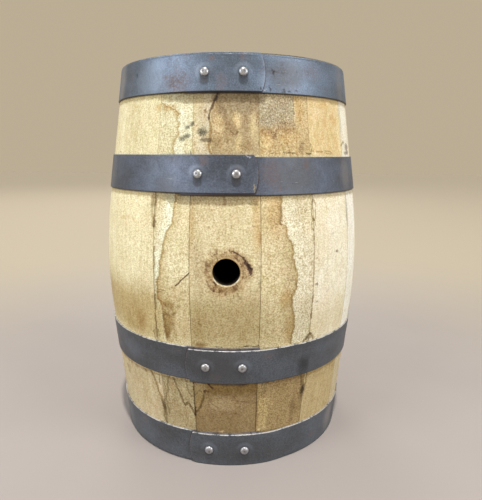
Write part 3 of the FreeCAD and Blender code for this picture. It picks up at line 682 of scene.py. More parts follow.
# Marks that cross a joint
SHARED_MARKS = {
    "stroke": [(3.2, 0.85, (0.56, 0.56, 0.53), -17.2, 362, -14.4, 366.5),
        (3.6, 0.85, (0.54, 0.55, 0.52), -19.6, 351.6, -16.6, 355),
        (3.6, 0.88, (0.36, 0.34, 0.32), -10.2, 350.4, -7.4, 350),
        (1.2, 0.45, "rim", -14.4, 366, -14.3, 356, -14.5, 348, -14, 341, -13.7, 335),
        (1.3, 0.8, "dark", -15.2, 338, -14.8, 334), (1.1, 0.7, (0.4, 0.36, 0.32), 29, 347, 32.6, 346.6),
        (1.3, 0.85, "dark", 33.4, 336.8, 35.2, 336.8), (1.2, 0.8, (0.3, 0.24, 0.18), 35.6, 348, 35.6, 337),
        (2.6, 0.55, (0.52, 0.45, 0.33), -31.4, 292, -31.2, 278, -29.8, 264),
        (2.6, 0.6, (0.5, 0.42, 0.3), -29.5, 296, -29.5, 262), (0.9, 0.45, "moss", -29.5, 262, -29.5, 248),
        (2.1, 0.8, (0.42, 0.37, 0.26), -29.4, 241, -29.4, 219),
        (1.3, 0.65, (0.46, 0.41, 0.3), -29.4, 219, -29.5, 196),
        (1.9, 0.8, (0.42, 0.38, 0.28), -29.5, 191, -29.5, 175),
        (1.7, 0.8, (0.44, 0.37, 0.26), -30.3, 169, -29.9, 161, -30.1, 153),
        (1.4, 0.8, (0.42, 0.35, 0.22), -31.2, 154, -32.1, 148.5, -31.6, 144, -30.8, 140),
        (1.2, 0.55, "moss", -29.2, 153, -28.5, 147, -29, 140),
        (1.4, 0.75, (0.4, 0.31, 0.2), -31.5, 100, -31.4, 86), (1.2, 0.55, "moss", -29, 90, -28.4, 86),
        (1.2, 0.85, (0.26, 0.21, 0.14), -14.4, 99, -14.4, 66),
        (2.2, 0.9, (0.24, 0.17, 0.13), -14.4, 67, -14.5, 58),
        (1.5, 0.6, (0.58, 0.47, 0.32), 35.1, 245, 35, 210, 35, 164), (1.6, 0.55, "brown", 35, 188, 35, 182),
        (1.6, 0.6, "brown", 35, 173, 35.1, 163),
        (2.6, 0.85, (0.34, 0.28, 0.17), 32.4, 139, 34.2, 144, 35.4, 145.5),
        (2.3, 0.85, (0.34, 0.28, 0.17), 35.4, 145.5, 36.6, 142, 37.8, 139),
        (2, 0.75, (0.42, 0.38, 0.25), 33.2, 99, 33.4, 86), (1.7, 0.75, (0.4, 0.34, 0.23), 36, 99, 35.9, 85),
        (2.2, 0.8, (0.4, 0.34, 0.22), 59, 346.5, 60.6, 349.6, 63, 350)],
    "spot": [((2.6, 2.6), 0.9, (0.36, 0.34, 0.32), -14.4, 365.6),
        ((2.8, 1.8), 0.85, (0.42, 0.42, 0.4), -16.8, 363), ((3.3, 2.3), 0.9, (0.38, 0.38, 0.37), -17, 354),
        ((3.5, 2.1), 0.85, (0.4, 0.4, 0.38), -18.6, 350.8),
        ((5.6, 5), 0.8, (0.54, 0.55, 0.54), -10.3, 358.2),
        ((4.2, 3.4), 0.92, (0.32, 0.33, 0.33), -10.6, 357), ((4.6, 5), 0.7, (0.56, 0.5, 0.47), 30.6, 342.5),
        ((4, 3), 0.85, (0.32, 0.27, 0.2), 34.6, 141), ((3, 5.5), 0.75, (0.42, 0.33, 0.23), -29.7, 267),
        ((1.5, 4.2), 0.75, (0.46, 0.4, 0.26), 35, 251), ((3, 4.5), 0.7, (0.4, 0.36, 0.33), 34.8, 79)],
    "cloud": [((4.6, 8), 0.85, (0.46, 0.4, 0.31), -30.3, 288),
        ((2.6, 5), 0.5, (0.6, 0.54, 0.42), -27.4, 287), ((3, 8), 0.8, (0.48, 0.43, 0.36), -30.1, 148),
        ((3.2, 7.5), 0.85, (0.42, 0.36, 0.28), -30.3, 62), ((6.2, 13), 0.7, (0.56, 0.5, 0.38), -30.4, 52),
        ((3, 14), 0.5, (1.02, 0.98, 1.04), -30.2, 84), ((4.4, 8.5), 0.95, (0.24, 0.22, 0.2), 34.7, 80),
        ((3.6, 8), 0.5, (0.5, 0.48, 0.44), 34.4, 70), ((2.6, 27), 0.6, (0.64, 0.6, 0.5), 60.2, 372),
        ((3, 22), 0.5, "grey", 59.1, 272)],
    "seam": [(2.6, 0.8, (0.46, 0.4, 0.24), -29.9, 39, -30.3, 46, -30.4, 56, -30.4, 62, -31, 66, -32, 73,
        -33, 80, -33.6, 87, -34.6, 93, -36, 100)],
    "contour": [((7, 11), 0.65, "moss", -36, 64, -28, 99)],
    "loop": [((2.7, 10), 0.85, (0.46, 0.4, 0.24), 35.2, 279.5),
        ((2.3, 5.2), 0.8, (0.46, 0.4, 0.24), 34.7, 264)],
}

# Stave: first joint's angle, span, pale and tan tones, speckle
SEEN_STAVES = {
    "stave_12": (-80.8, 26.5, (0.80, 0.74, 0.50), (0.74, 0.66, 0.42), 0.35),
    "stave_13": (-54.3, 25.0, (0.82, 0.76, 0.51), (0.75, 0.67, 0.43), 0.40),
    "stave_14": (-29.3, 15.4, (0.79, 0.73, 0.49), (0.72, 0.64, 0.40), 0.80),
    "bung_stave": (-13.9, 26.7, (0.69, 0.61, 0.39), (0.62, 0.53, 0.32), 0.75),
    "stave_01": (12.8, 22.6, (0.71, 0.62, 0.39), (0.64, 0.55, 0.34), 1.0),
    "stave_02": (35.4, 24.2, (0.82, 0.77, 0.61), (0.77, 0.70, 0.51), 0.30),
    "stave_03": (59.6, 26.0, (0.88, 0.87, 0.79), (0.84, 0.80, 0.69), 0.28),
}
HIDDEN_START = 85.6
HIDDEN_SPANS = (21.5, 25.0, 28.5, 19.0, 24.5, 27.5, 22.0, 25.6)
# Angle of a joint: its dirt in the top, middle and bottom band
JOINT_DIRT = {
    -54.3: (0.05, 0.12, 0.15), -29.3: (0.08, 0.30, 0.25), -13.9: (0.12, 0.45, 0.60),
    12.8: (0.12, 0.50, 0.80), 35.4: (0.15, 0.45, 0.40), 59.6: (0.40, 0.60, 0.50),
}
PLAIN_DIRT = (0.5, 0.6, 0.6)


def listed(table):
    """The marks in a table, each as kind, points, size, strength and tint."""
    for kind, rows in table.items():
        for size, strength, tint, *flat in rows:
            yield kind, list(zip(flat[::2], flat[1::2])), size, strength, tint


def touches(mark, start, span):
    """Whether a mark reaches the stave."""
    _, points, size, *_ = mark
    reach = (size[0] if isinstance(size, tuple) else size) / ARC
    angles = [angle for angle, _ in points]
    return min(angles) - reach < start + span and max(angles) + reach > start


def drawn_marks(draw, start, span):
    """A water stain with its line, smudges and knots, placed by lot on a stave that the front never shows."""
    middle = start + span / 2
    line = []
    place = middle + draw.uniform(-0.3, 0.3) * span
    for height in range(139, 300, 8):
        line.append((place, height))
        place += draw.uniform(-0.9, 0.9)
    reach = draw.choice((-18, 18, 26))
    marks = [
        ("shade", line, reach, draw.uniform(0.3, 0.6), "tan"),
        ("shade", line, -reach, draw.uniform(0.0, 0.4), "bleach"),
        ("seam", line, 1.3, draw.uniform(0.35, 0.85), "brown"),
        ("wash", [(start, 336), (start + span, 395)], 3, draw.uniform(0.0, 0.7), "ochre"),
        # the two lower washes darken the wood downwards, as on the seen staves: partly stain, partly painted
        # shade
        ("wash", [(start, 139), (start + span, 190)], 40, draw.uniform(0.2, 0.7), "tan"),
        ("wash", [(start, 36), (start + span, 100)], 4, draw.uniform(0.4, 0.9), (0.74, 0.58, 0.40)),
    ]
    for low, high in ((340, 390), (150, 285), (150, 285), (45, 95)):
        point = (middle + draw.uniform(-0.4, 0.4) * span, draw.uniform(low, high))
        size = (draw.uniform(1.4, 4.5), draw.uniform(1.4, 5.0))
        marks.append(("spot", [point], size, draw.uniform(0.4, 0.85), draw.choice(("grey", "brown", "dark"))))
    low = (middle - draw.uniform(0.0, 0.4) * span, 99)
    turn = (low[0] + draw.uniform(-3, 3), draw.uniform(60, 80))
    end = (turn[0] + draw.uniform(-3, 3), 42)
    marks.append(("stroke", [low, turn, end], 1.3, draw.uniform(0.3, 0.8), "brown"))
    return marks


def stave_oak(name, start, span, pale, tan, speckled, marks, dirt_and_shadow, seed):
    wood = Stave(name, start, span, pale, tan, speckled, seed)
    for kind, points, size, strength, tint in marks:
        wood.tint(getattr(wood, kind)(points, size) * strength, tint)
    if name == "bung_stave":
        wood.bung_ring()
    wood.joint_dirt(*dirt_and_shadow)
    wood.painted_hoop_shadow()
    wood.ends()
    return wood.finish_oak()


def head_board(name, left, right, seed, tone):
    """A board of a head, between left and right: its grain runs along Y."""
    wood = Oak(f"oak_{name}", seed)
    pale = (0.60 * tone, 0.51 * tone, 0.33 * tone)
    tan = (0.50 * tone, 0.40 * tone, 0.24 * tone)
    wood.grain(wood.x - (left + right) / 2, wood.z, wood.y, pale, tan, 0.30)
    wood.tone(wood.upright(), 0.9, 0.5, 0.5, (0.72, 0.58, 0.42))
    from_joint = wood.math("MINIMUM", wood.x - left, right - wood.x)
    wood.tone(from_joint, 0.9, 0.2, 0.75, "dark")
    wood.tone(from_joint, 5.0, 0.5, 0.25, "tan")
    wood.tone(wood.from_axis, 96.0, 118.0, 0.6, (0.62, 0.50, 0.38))
    saw = wood.noise(wood.join(wood.x * 0.02, wood.y), 2.4, 2.0, 0.5, seed + 7)
    wood.tone(saw, 0.5, 0.7, 0.16, (0.7, 0.6, 0.46))
    rays = wood.noise(wood.join(wood.x, wood.y * 0.06), 2.6, 3.0, 0.6, seed + 8)
    wood.tone(rays, 0.50, 0.68, 0.40, (0.74, 0.62, 0.46))
    return wood.finish_oak()


def dowel_oak():
    wood = Oak("oak_dowels", 95.0)
    wood.grain(wood.y, wood.z, wood.x, (0.70, 0.58, 0.37), (0.60, 0.47, 0.28), 0.5)
    return wood.finish_oak()


# ---- steel


SCALE_DARK = (0.105, 0.110, 0.122)
SCALE_BLUE = (0.150, 0.168, 0.200)


def hoop_steel(name, seed, tone, edge_wear_and_highlight, marks):
    """Mill scale with a blue cast, rust haze and pits."""
    steel = Sheet(name)
    angle = steel.math("ARCTAN2", steel.x, 0.0 - steel.y)
    flat = steel.join(angle * FACE_RADIUS, steel.z)
    clouds = steel.noise(flat, (60.0, 30.0, 30.0), 3.0, 0.5, seed)
    steel.colour = steel.mix(steel.step(clouds, 0.30, 0.70), SCALE_DARK, SCALE_BLUE)
    mottle = steel.noise(flat, 5.0, 4.0, 0.65, seed + 1)
    steel.cover(steel.step(mottle, 0.50, 0.74) * 0.35, (0.075, 0.075, 0.085))
    smears = steel.noise(flat, (3.0, 14.0, 3.0), 3.0, 0.6, seed + 1.5)
    steel.cover(steel.step(smears, 0.52, 0.70) * 0.30, (0.185, 0.20, 0.23))
    fine = steel.noise(flat, 1.5, 3.0, 0.7, seed + 8)
    steel.tint(steel.step(fine, 0.46, 0.66), (0.72, 0.72, 0.75))
    steel.tint(steel.step(fine, 0.48, 0.30), (1.28, 1.27, 1.27))
    # The hoop's tone: painted light, lighter and bluer on the upper hoops and darker on the lower ones
    steel.tint(1.0, tone)
    # Painted shadow round each rivet head, running down under it
    steel.cover(steel.attribute("rivet_dirt"), (0.030, 0.030, 0.034))
    # Painted highlight on the upper side of the raised pad round each rivet
    steel.cover(steel.attribute("rivet_halo") * 0.32, (0.25, 0.29, 0.36))
    haze = steel.step(steel.noise(flat, (34.0, 18.0, 20.0), 4.0, 0.65, seed + 2), 0.55, 0.74)
    grit = steel.step(steel.noise(flat, 1.7, 3.0, 0.7, seed + 3), 0.42, 0.60)
    rust = haze * grit * 0.40
    steel.cover(rust, "rust")
    ragged = steel.shaken(flat, 5.0, 5.0, 3.0, seed + 4)
    # sheen and haze marks are painted reflections and dull marks painted shade; rust, pit, scuff and brass
    # marks are the steel's own
    for kind, place, height, half_width, half_height, strength in marks:
        away = steel.vector_math("SUBTRACT", ragged, (place * ARC, height, 0.0))
        away = steel.vector_math("MULTIPLY", away, (1 / half_width, 1 / half_height, 0.0))
        solid = grit * 0.80 + 0.20 if kind == "rust" else grit * 0.3 + 0.7
        patch = steel.step(steel.vector_math("LENGTH", away), 1.35, 0.3) * solid * strength
        steel.cover(patch, kind)
        if kind == "rust":
            rust = steel.math("MAXIMUM", rust, patch)
    pits = steel.step(steel.noise(flat, 1.4, 2.0, 0.5, seed + 5), 0.74, 0.79)
    steel.cover(pits * 0.8, (0.022, 0.020, 0.022))
    scratch = steel.noise(steel.join(angle * 7.5, steel.z), 0.7, 2.0, 0.5, seed + 6)
    steel.cover(steel.step(scratch, 0.71, 0.78) * steel.step(mottle, 0.4, 0.6) * 0.35, "bare")
    # The end of the lap: a worn arris on it, and rust with painted shade in its corner
    from_end = steel.attribute("lap_outer")
    steel.cover(steel.step(from_end, 1.0, 0.4) * grit * 0.4, (0.30, 0.28, 0.29))
    corner = steel.step(steel.attribute("lap_inner"), 1.6, 0.2)
    corner = steel.math("MAXIMUM", corner, steel.step(from_end, 0.2, 0.05))
    steel.cover(corner * 0.75, (0.060, 0.038, 0.040))
    # The upper edge, rubbed bright where the driver struck it, and on the lower hoops also a painted
    # highlight
    below = steel.attribute("below_top")
    uneven = steel.noise(flat, 5.0, 3.0, 0.6, seed + 7)
    bright = steel.step(below - (uneven - 0.4) * 2.0, 0.70, 0.10) * steel.step(uneven, 0.30, 0.52)
    bright = bright * steel.attribute("struck") * edge_wear_and_highlight
    steel.cover(bright, "bare")
    # Painted shade along the strip's lower edge, which faces down
    steel.cover(steel.step(below, HOOP_WIDTH - 1.1, HOOP_WIDTH - 0.3) * 0.7, (0.03, 0.03, 0.03))
    rough = 0.36 + clouds * 0.10 + mottle * 0.14 + rust * 0.35 + pits * 0.2
    relief = 0.5 + mottle * 0.35 - pits * 0.5 + rust * 0.3
    return steel.finish(rough, relief, 0.05, Metallic=0.5 + bright * 0.4)


def rivet_steel():
    steel = Sheet("rivet_steel")
    dull = steel.noise(steel.place, 2.6, 3.0, 0.6, 2.0)
    steel.colour = steel.mix(steel.step(dull, 0.35, 0.7), (0.47, 0.47, 0.48), (0.30, 0.30, 0.32))
    crown = steel.attribute("crown")
    # painted dark reflection in the dimpled crown of each head
    steel.cover(crown * 0.80, (0.10, 0.09, 0.095))
    nicks = steel.step(steel.noise(steel.place, 0.8, 2.0, 0.6, 5.0), 0.60, 0.74)
    steel.cover(nicks * 0.45, (0.22, 0.21, 0.21))
    return steel.finish(0.34 + dull * 0.16 + crown * 0.2, 0.5 - nicks * 0.4, 0.05, Metallic=0.85)


# ---- meshes


def add_object(name, data):
    made = bpy.data.objects.new(name, data)
    bpy.context.scene.collection.objects.link(made)
    return made


def new_piece(name, points, faces, sharp_angle, material, node):
    """A smooth mesh piece that stands for a CAD node. Its points are millimetres in the row frame."""
    mesh = bpy.data.meshes.new(name)
    mesh.from_pydata((np.asarray(points) * MM).tolist(), [], faces)
    mesh.validate()
    mesh.materials.append(material)
    mesh.shade_smooth()
    mesh.set_sharp_from_angle(angle=math.radians(sharp_angle))
    piece = add_object(name, mesh)
    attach(piece, BODY)
    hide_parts(node)
    return piece


def store(piece, name, values):
    """Keeps a number in each point of the piece, for its material."""
    attribute = piece.data.attributes.new(name, "FLOAT", "POINT")
    attribute.data.foreach_set("value", np.asarray(values, dtype=np.float32).ravel())


def grid_faces(rows, columns, first, flip):
    """Quads over a grid of points, numbered along each row from first."""
    faces = []
    for row in range(rows - 1):
        for column in range(columns - 1):
            a = first + row * columns + column
            quad = [a, a + 1, a + columns + 1, a + columns]
            faces.append(quad[::-1] if flip else quad)
    return faces


class HoopStrip:
    """A hoop of the top half, as part of the frame has it, or turned over for the bottom half."""

    PAD_RADIUS = 11.0  # the strip is drawn up round each rivet as far as this
    PAD_HEIGHT = 0.70
    RING_HEIGHT = 0.035  # rings that the rivet set left round each rivet
    RING_PITCH = 1.9
    EDGE_ROUND = 0.28
    END_ZONE = 16.0  # the bulge of the strip's ends dies out over this
    LIP_WIDTH = 2.0  # the head hoop's edge is hammered in over this
    LIP_DEPTH = 0.32
    FAR = 50.0
    HIGHLIGHT_RADIUS = 7.5  # a painted highlight lies round the upper side of each rivet at this distance
    HIGHLIGHT_WIDTH = 3.0
    HALF_TURN = 180  # windings below this belong to the first layer, under the lap
    COLUMNS = 72
    END_ROUND = 0.3
    PLAIN_STEP = 4.0  # distance between sections, and closer ones near a rivet or an end
    RIVET_STEP = 0.55
    END_STEP = 0.25

    def __init__(self, setback, creep, lap_middle, lower, lipped):
        self.setback = setback
        self.creep = creep
        self.lower = lower
        self.lipped = lipped
        self.rivet_shadow_length = 3.0 if lower else 8.5  # painted shadow reaches this far under each rivet
        self.rivet_shadow_strength = 0.38 if lower else 0.85
        self.radius = END_RADIUS + (setback + HOOP_WIDTH / 2) * math.tan(TAPER)
        self.degree = self.radius * math.radians(1)
        self.lap = 2 * (RIVET_PITCH / 2 + RIVET_END_MARGIN) / self.degree
        self.climb = HOOP_CLIMB / self.degree
        self.start = (-lap_middle if lower else lap_middle) - self.lap / 2
        self.turn = 360 + self.lap
        pitch = RIVET_PITCH / self.degree
        middle = 360 + self.lap / 2
        self.rivets = (middle - pitch / 2, middle + pitch / 2)

    def lower_edge(self):
        """Height of its lower edge where the strip starts, and its change in one degree of winding."""
        across = 0.0 if self.lower else HOOP_WIDTH * math.cos(TAPER)
        from_end = self.setback + self.creep + across
        rise = self.creep / self.turn
        return (from_end, -rise) if self.lower else (CASK_HEIGHT - from_end, rise)

    def place(self, winding, across, height):
        """Points at a winding in degrees, a distance across the strip and a height over the wood."""
        share = np.clip((winding - 360 + self.climb) / self.climb, 0, 1)
        lift = HOOP_FIT + share ** 2 * (3 - 2 * share) * (HOOP_THICKNESS + HOOP_LAP_FIT)
        height = height + lift
        from_end = self.setback + self.creep * (1 - winding / self.turn) + across * math.cos(TAPER)
        radius = END_RADIUS + from_end * math.tan(TAPER) + height * math.cos(TAPER)
        angle = np.radians(self.start + winding)
        z = CASK_HEIGHT - from_end + height * math.sin(TAPER)
        points = np.stack([np.sin(angle) * radius, -np.cos(angle) * radius, z], -1)
        if self.lower:
            points = points * (-1, 1, -1) + (0, 0, CASK_HEIGHT)
        return points

    def windings(self):
        """Sections along the strip, closer together near the rivets and the ends."""
        stops = [0.0]
        while stops[-1] < self.turn:
            at = stops[-1]
            near_rivet = min(abs(at - rivet) for rivet in self.rivets) * self.degree < self.PAD_RADIUS + 2
            near_end = min(at, self.turn - at) * self.degree < 2.0
            step = self.END_STEP if near_end else self.RIVET_STEP if near_rivet else self.PLAIN_STEP
            stops.append(at + step / self.degree)
        stops[-1] = self.turn
        return np.array(stops)

    def relief(self, bent, a):
        """Height of the strip's outer face over a flat one."""
        height = 0.0
        for rivet in self.rivets:
            away = np.hypot((bent - rivet) * self.degree, a - HOOP_WIDTH / 2)
            near = np.clip(1 - (away / self.PAD_RADIUS) ** 2, 0, 1)
            rings = np.sin(away * 2 * math.pi / self.RING_PITCH) * np.clip(away - RIVET_HEAD_RADIUS, 0, 1)
            height = height + self.PAD_HEIGHT * near ** 1.6 + self.RING_HEIGHT * rings * near ** 0.5
        wave = 0.10 * np.sin(bent * 0.31 + a * 0.11) + 0.07 * np.sin(bent * 0.83 - a * 0.23 + self.setback)
        edge = np.minimum(a, HOOP_WIDTH - a)
        height = height + 0.5 * (wave - 0.17) * np.clip(edge / 6.0, 0.25, 1)
        if self.lipped:
            hammered = 1 + 0.25 * np.sin(bent * 0.9) + 0.2 * np.sin(bent * 2.3 + 1.0)
            height = height - self.LIP_DEPTH * hammered * np.clip((self.LIP_WIDTH - a) / 0.5, 0, 1)
        return height

    def build(self, name, material):
        """The strip's mesh, with what its material has to know in its points."""
        width, bevel = HOOP_WIDTH, self.EDGE_ROUND
        w = self.windings()[:, None]
        turns = np.radians((0, 30, 60, 90))
        corner = bevel * (1 - np.cos(turns))
        fall = bevel * (1 - np.sin(turns))
        flat = np.linspace(bevel, width - bevel, self.COLUMNS)[1:-1]
        a = np.concatenate([corner, flat, width - corner[::-1]])[None, :]
        drop = np.concatenate([fall, np.zeros(len(flat)), fall[::-1]])[None, :]
        arc = (width ** 2 / 4 + HOOP_END_BULGE ** 2) / (2 * HOOP_END_BULGE)
        set_in = arc - np.sqrt(arc ** 2 - (a - width / 2) ** 2)
        from_start = w * self.degree
        from_stop = (self.turn - w) * self.degree
        shift = set_in * np.clip(1 - from_start / self.END_ZONE, 0, 1)
        shift = shift - set_in * np.clip(1 - from_stop / self.END_ZONE, 0, 1)
        bent = w + shift / self.degree
        end_drop = np.clip(1 - np.minimum(from_start, from_stop) / self.END_ROUND, 0, 1) ** 2 * bevel
        outer = self.place(bent, a, HOOP_THICKNESS - drop - end_drop + self.relief(bent, a))
        inner = self.place(bent, a, 0)
        points = np.concatenate([outer.reshape(-1, 3), inner.reshape(-1, 3)])
        node = name.removesuffix("_strip")
        piece = new_piece(name, points, self.faces(*bent.shape), 50, material, node)
        first_layer = w < self.HALF_TURN
        below_top = width - a if self.lower else a
        beyond = (bent - (self.turn - 360)) * self.degree + set_in
        dirt_and_shadow, highlight = self.rivet_marks(bent, below_top - width / 2)
        numbers = {
            "rivet_dirt": np.where(first_layer, 0, dirt_and_shadow),
            "rivet_halo": np.where(first_layer, 0, highlight),
            "struck": np.where(w < self.lap, 0.15, 1.0),
            "below_top": below_top,
            "lap_outer": np.where(first_layer, self.FAR, np.minimum(from_stop, self.FAR)),
            "lap_inner": np.where(first_layer, np.clip(beyond, -self.FAR, self.FAR), self.FAR),
        }
        for key, values in numbers.items():
            store(piece, key, np.tile(np.broadcast_to(values, bent.shape), (2, 1)))

    def faces(self, rows, columns):
        """Outer and inner face, the long edges between them, and the two ends."""
        count = rows * columns
        faces = grid_faces(rows, columns, 0, False) + grid_faces(rows, columns, count, True)
        for row in range(rows - 1):
            for column, flip in ((0, -1), (columns - 1, 1)):
                low = row * columns + column
                faces.append([low, low + columns, low + columns + count, low + count][::flip])
        for column in range(columns - 1):
            for row, flip in ((0, 1), (rows - 1, -1)):
                low = row * columns + column
                faces.append([low, low + count, low + count + 1, low + 1][::-flip])
        return faces

    def rivet_marks(self, bent, down):
        """Painted shadow round and under each rivet, and a painted highlight round its upper side. down is
        the distance below its middle.
        """
        dirt_and_shadow = highlight = 0.0
        run = np.clip(down - self.rivet_shadow_length, 0, None) + np.clip(-down, 0, None)
        for rivet in self.rivets:
            sideways = (bent - rivet) * self.degree
            dirt_and_shadow = dirt_and_shadow + np.clip((RIVET_HEAD_RADIUS + 0.5 - np.hypot(sideways, run)) / 1.2, 0, 1)
            ring = 1 - abs(np.hypot(sideways, down) - self.HIGHLIGHT_RADIUS) / self.HIGHLIGHT_WIDTH
            highlight = highlight + np.clip(ring, 0, 1) * np.clip(0.5 - (down + 0.4 * sideways) / 12, 0, 1)
        fade = self.rivet_shadow_strength * (1 - 0.35 * np.clip(down / self.rivet_shadow_length, 0, 1))
        return dirt_and_shadow * fade, highlight

    def build_rivets(self, name, material):
        """Domed heads, dimpled and a little askew, on shanks through both layers."""
        sides = 48
        dome_rings = 16
        dome_foot = 0.4
        dome_height = RIVET_HEAD_HEIGHT - 0.45
        dimple_depth = 0.30
        dimple_spread = 1.9
        grip = 2 * HOOP_THICKNESS + HOOP_LAP_FIT
        rings = [(RIVET_SHANK_RADIUS, -grip), (RIVET_SHANK_RADIUS, 0.0), (RIVET_HEAD_RADIUS - 0.2, 0.0),
                 (RIVET_HEAD_RADIUS, 0.2), (RIVET_HEAD_RADIUS, dome_foot)]
        for step in range(1, dome_rings + 1):
            rings.append((RIVET_HEAD_RADIUS * math.cos(math.pi / 2 * step / (dome_rings + 1)), None))
        points, faces, crown = [], [], []
        for rivet, dimple in zip(self.rivets, ((-0.4, 0.3), (0.5, -0.35))):
            base, above = (Vector(self.place(np.array(rivet), np.array(HOOP_WIDTH / 2), np.array(height)))
                           for height in (HOOP_THICKNESS, HOOP_THICKNESS + 1))
            out = (above - base).normalized()
            along = Vector((0, 0, 1)).cross(out).normalized()
            up = out.cross(along)
            first = len(points)
            for radius, height in rings:
                for side in range(sides):
                    turn = 2 * math.pi * side / sides
                    u, v = radius * math.cos(turn), radius * math.sin(turn)
                    inward = math.exp(-((u - dimple[0]) ** 2 + (v - dimple[1]) ** 2) / dimple_spread)
                    dome = (1 - (radius / RIVET_HEAD_RADIUS) ** 2.4) ** 0.5
                    domed = dome_foot + dome_height * dome - dimple_depth * inward
                    points.append(base + along * u + up * v + out * (domed if height is None else height))
                    crown.append(inward)
            last = first + (len(rings) - 1) * sides
            points.append(sum(points[last:last + sides], Vector()) / sides)
            points.append(base - out * grip)
            crown += [1.0, 0.0]
            for side in range(sides):
                after = (side + 1) % sides
                for a in range(first, last, sides):
                    faces.append([a + side, a + after, a + after + sides, a + side + sides])
                faces.append([last + side, last + after, last + sides])
                faces.append([first + after, first + side, last + sides + 1])
        piece = new_piece(name, points, faces, 60, material, name.removesuffix("_heads"))
        store(piece, "crown", crown)


# ---- dressing the cask


def dress(node, material):
    """Gives a CAD node its finish."""
    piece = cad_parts[node]
    piece.data.materials.clear()
    piece.data.materials.append(material)


def dress_staves():
    for number, (node, (start, span, *tones)) in enumerate(SEEN_STAVES.items()):
        shared = [mark for mark in listed(SHARED_MARKS) if touches(mark, start, span)]
        marks = [*listed(MARKS[node]), *shared]
        dirt_and_shadow = [JOINT_DIRT.get(joint, PLAIN_DIRT) for joint in (start, round(start + span, 1))]
        dress(node, stave_oak(node, start, span, *tones, marks, dirt_and_shadow, 13.0 + number))
    draw = random.Random(11)
    start = HIDDEN_START
    for number, span in enumerate(HIDDEN_SPANS, start=4):
        node = f"stave_{number:02d}"
        tone = draw.uniform(0.92, 1.04)
        warmth = draw.uniform(0.0, 1.0)
        pale = (0.74 * tone, (0.66 - 0.04 * warmth) * tone, (0.46 - 0.08 * warmth) * tone)
        tan = (0.66 * tone, (0.56 - 0.04 * warmth) * tone, (0.34 - 0.05 * warmth) * tone)
        dirt_and_shadow = [[draw.uniform(0.2, 0.9) for _ in PLAIN_DIRT] for _ in ("left", "right")]
        marks = drawn_marks(draw, start, span)
        speckled = draw.uniform(0.15, 0.55)
        seed = draw.uniform(60, 90)
        dress(node, stave_oak(node, start, span, pale, tan, speckled, marks, dirt_and_shadow, seed))
        start += span


def dress_heads():
    draw = random.Random(7)
    for end in ("top", "bottom"):
        for number in range(1, 6):
            node = f"{end}_head_board_{number}"
            low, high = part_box(node)
            seed = draw.uniform(100, 140)
            tone = draw.uniform(0.84, 1.06)
            dress(node, head_board(node, low.x / MM, high.x / MM, seed, tone))
        dress(f"{end}_head_dowels", dowel_oak())


# Setback from the cask's end, and how far the strip creeps towards it
HEAD_HOOP = (0.5, 0.9)
QUARTER_HOOP = (99.5, 2.0)
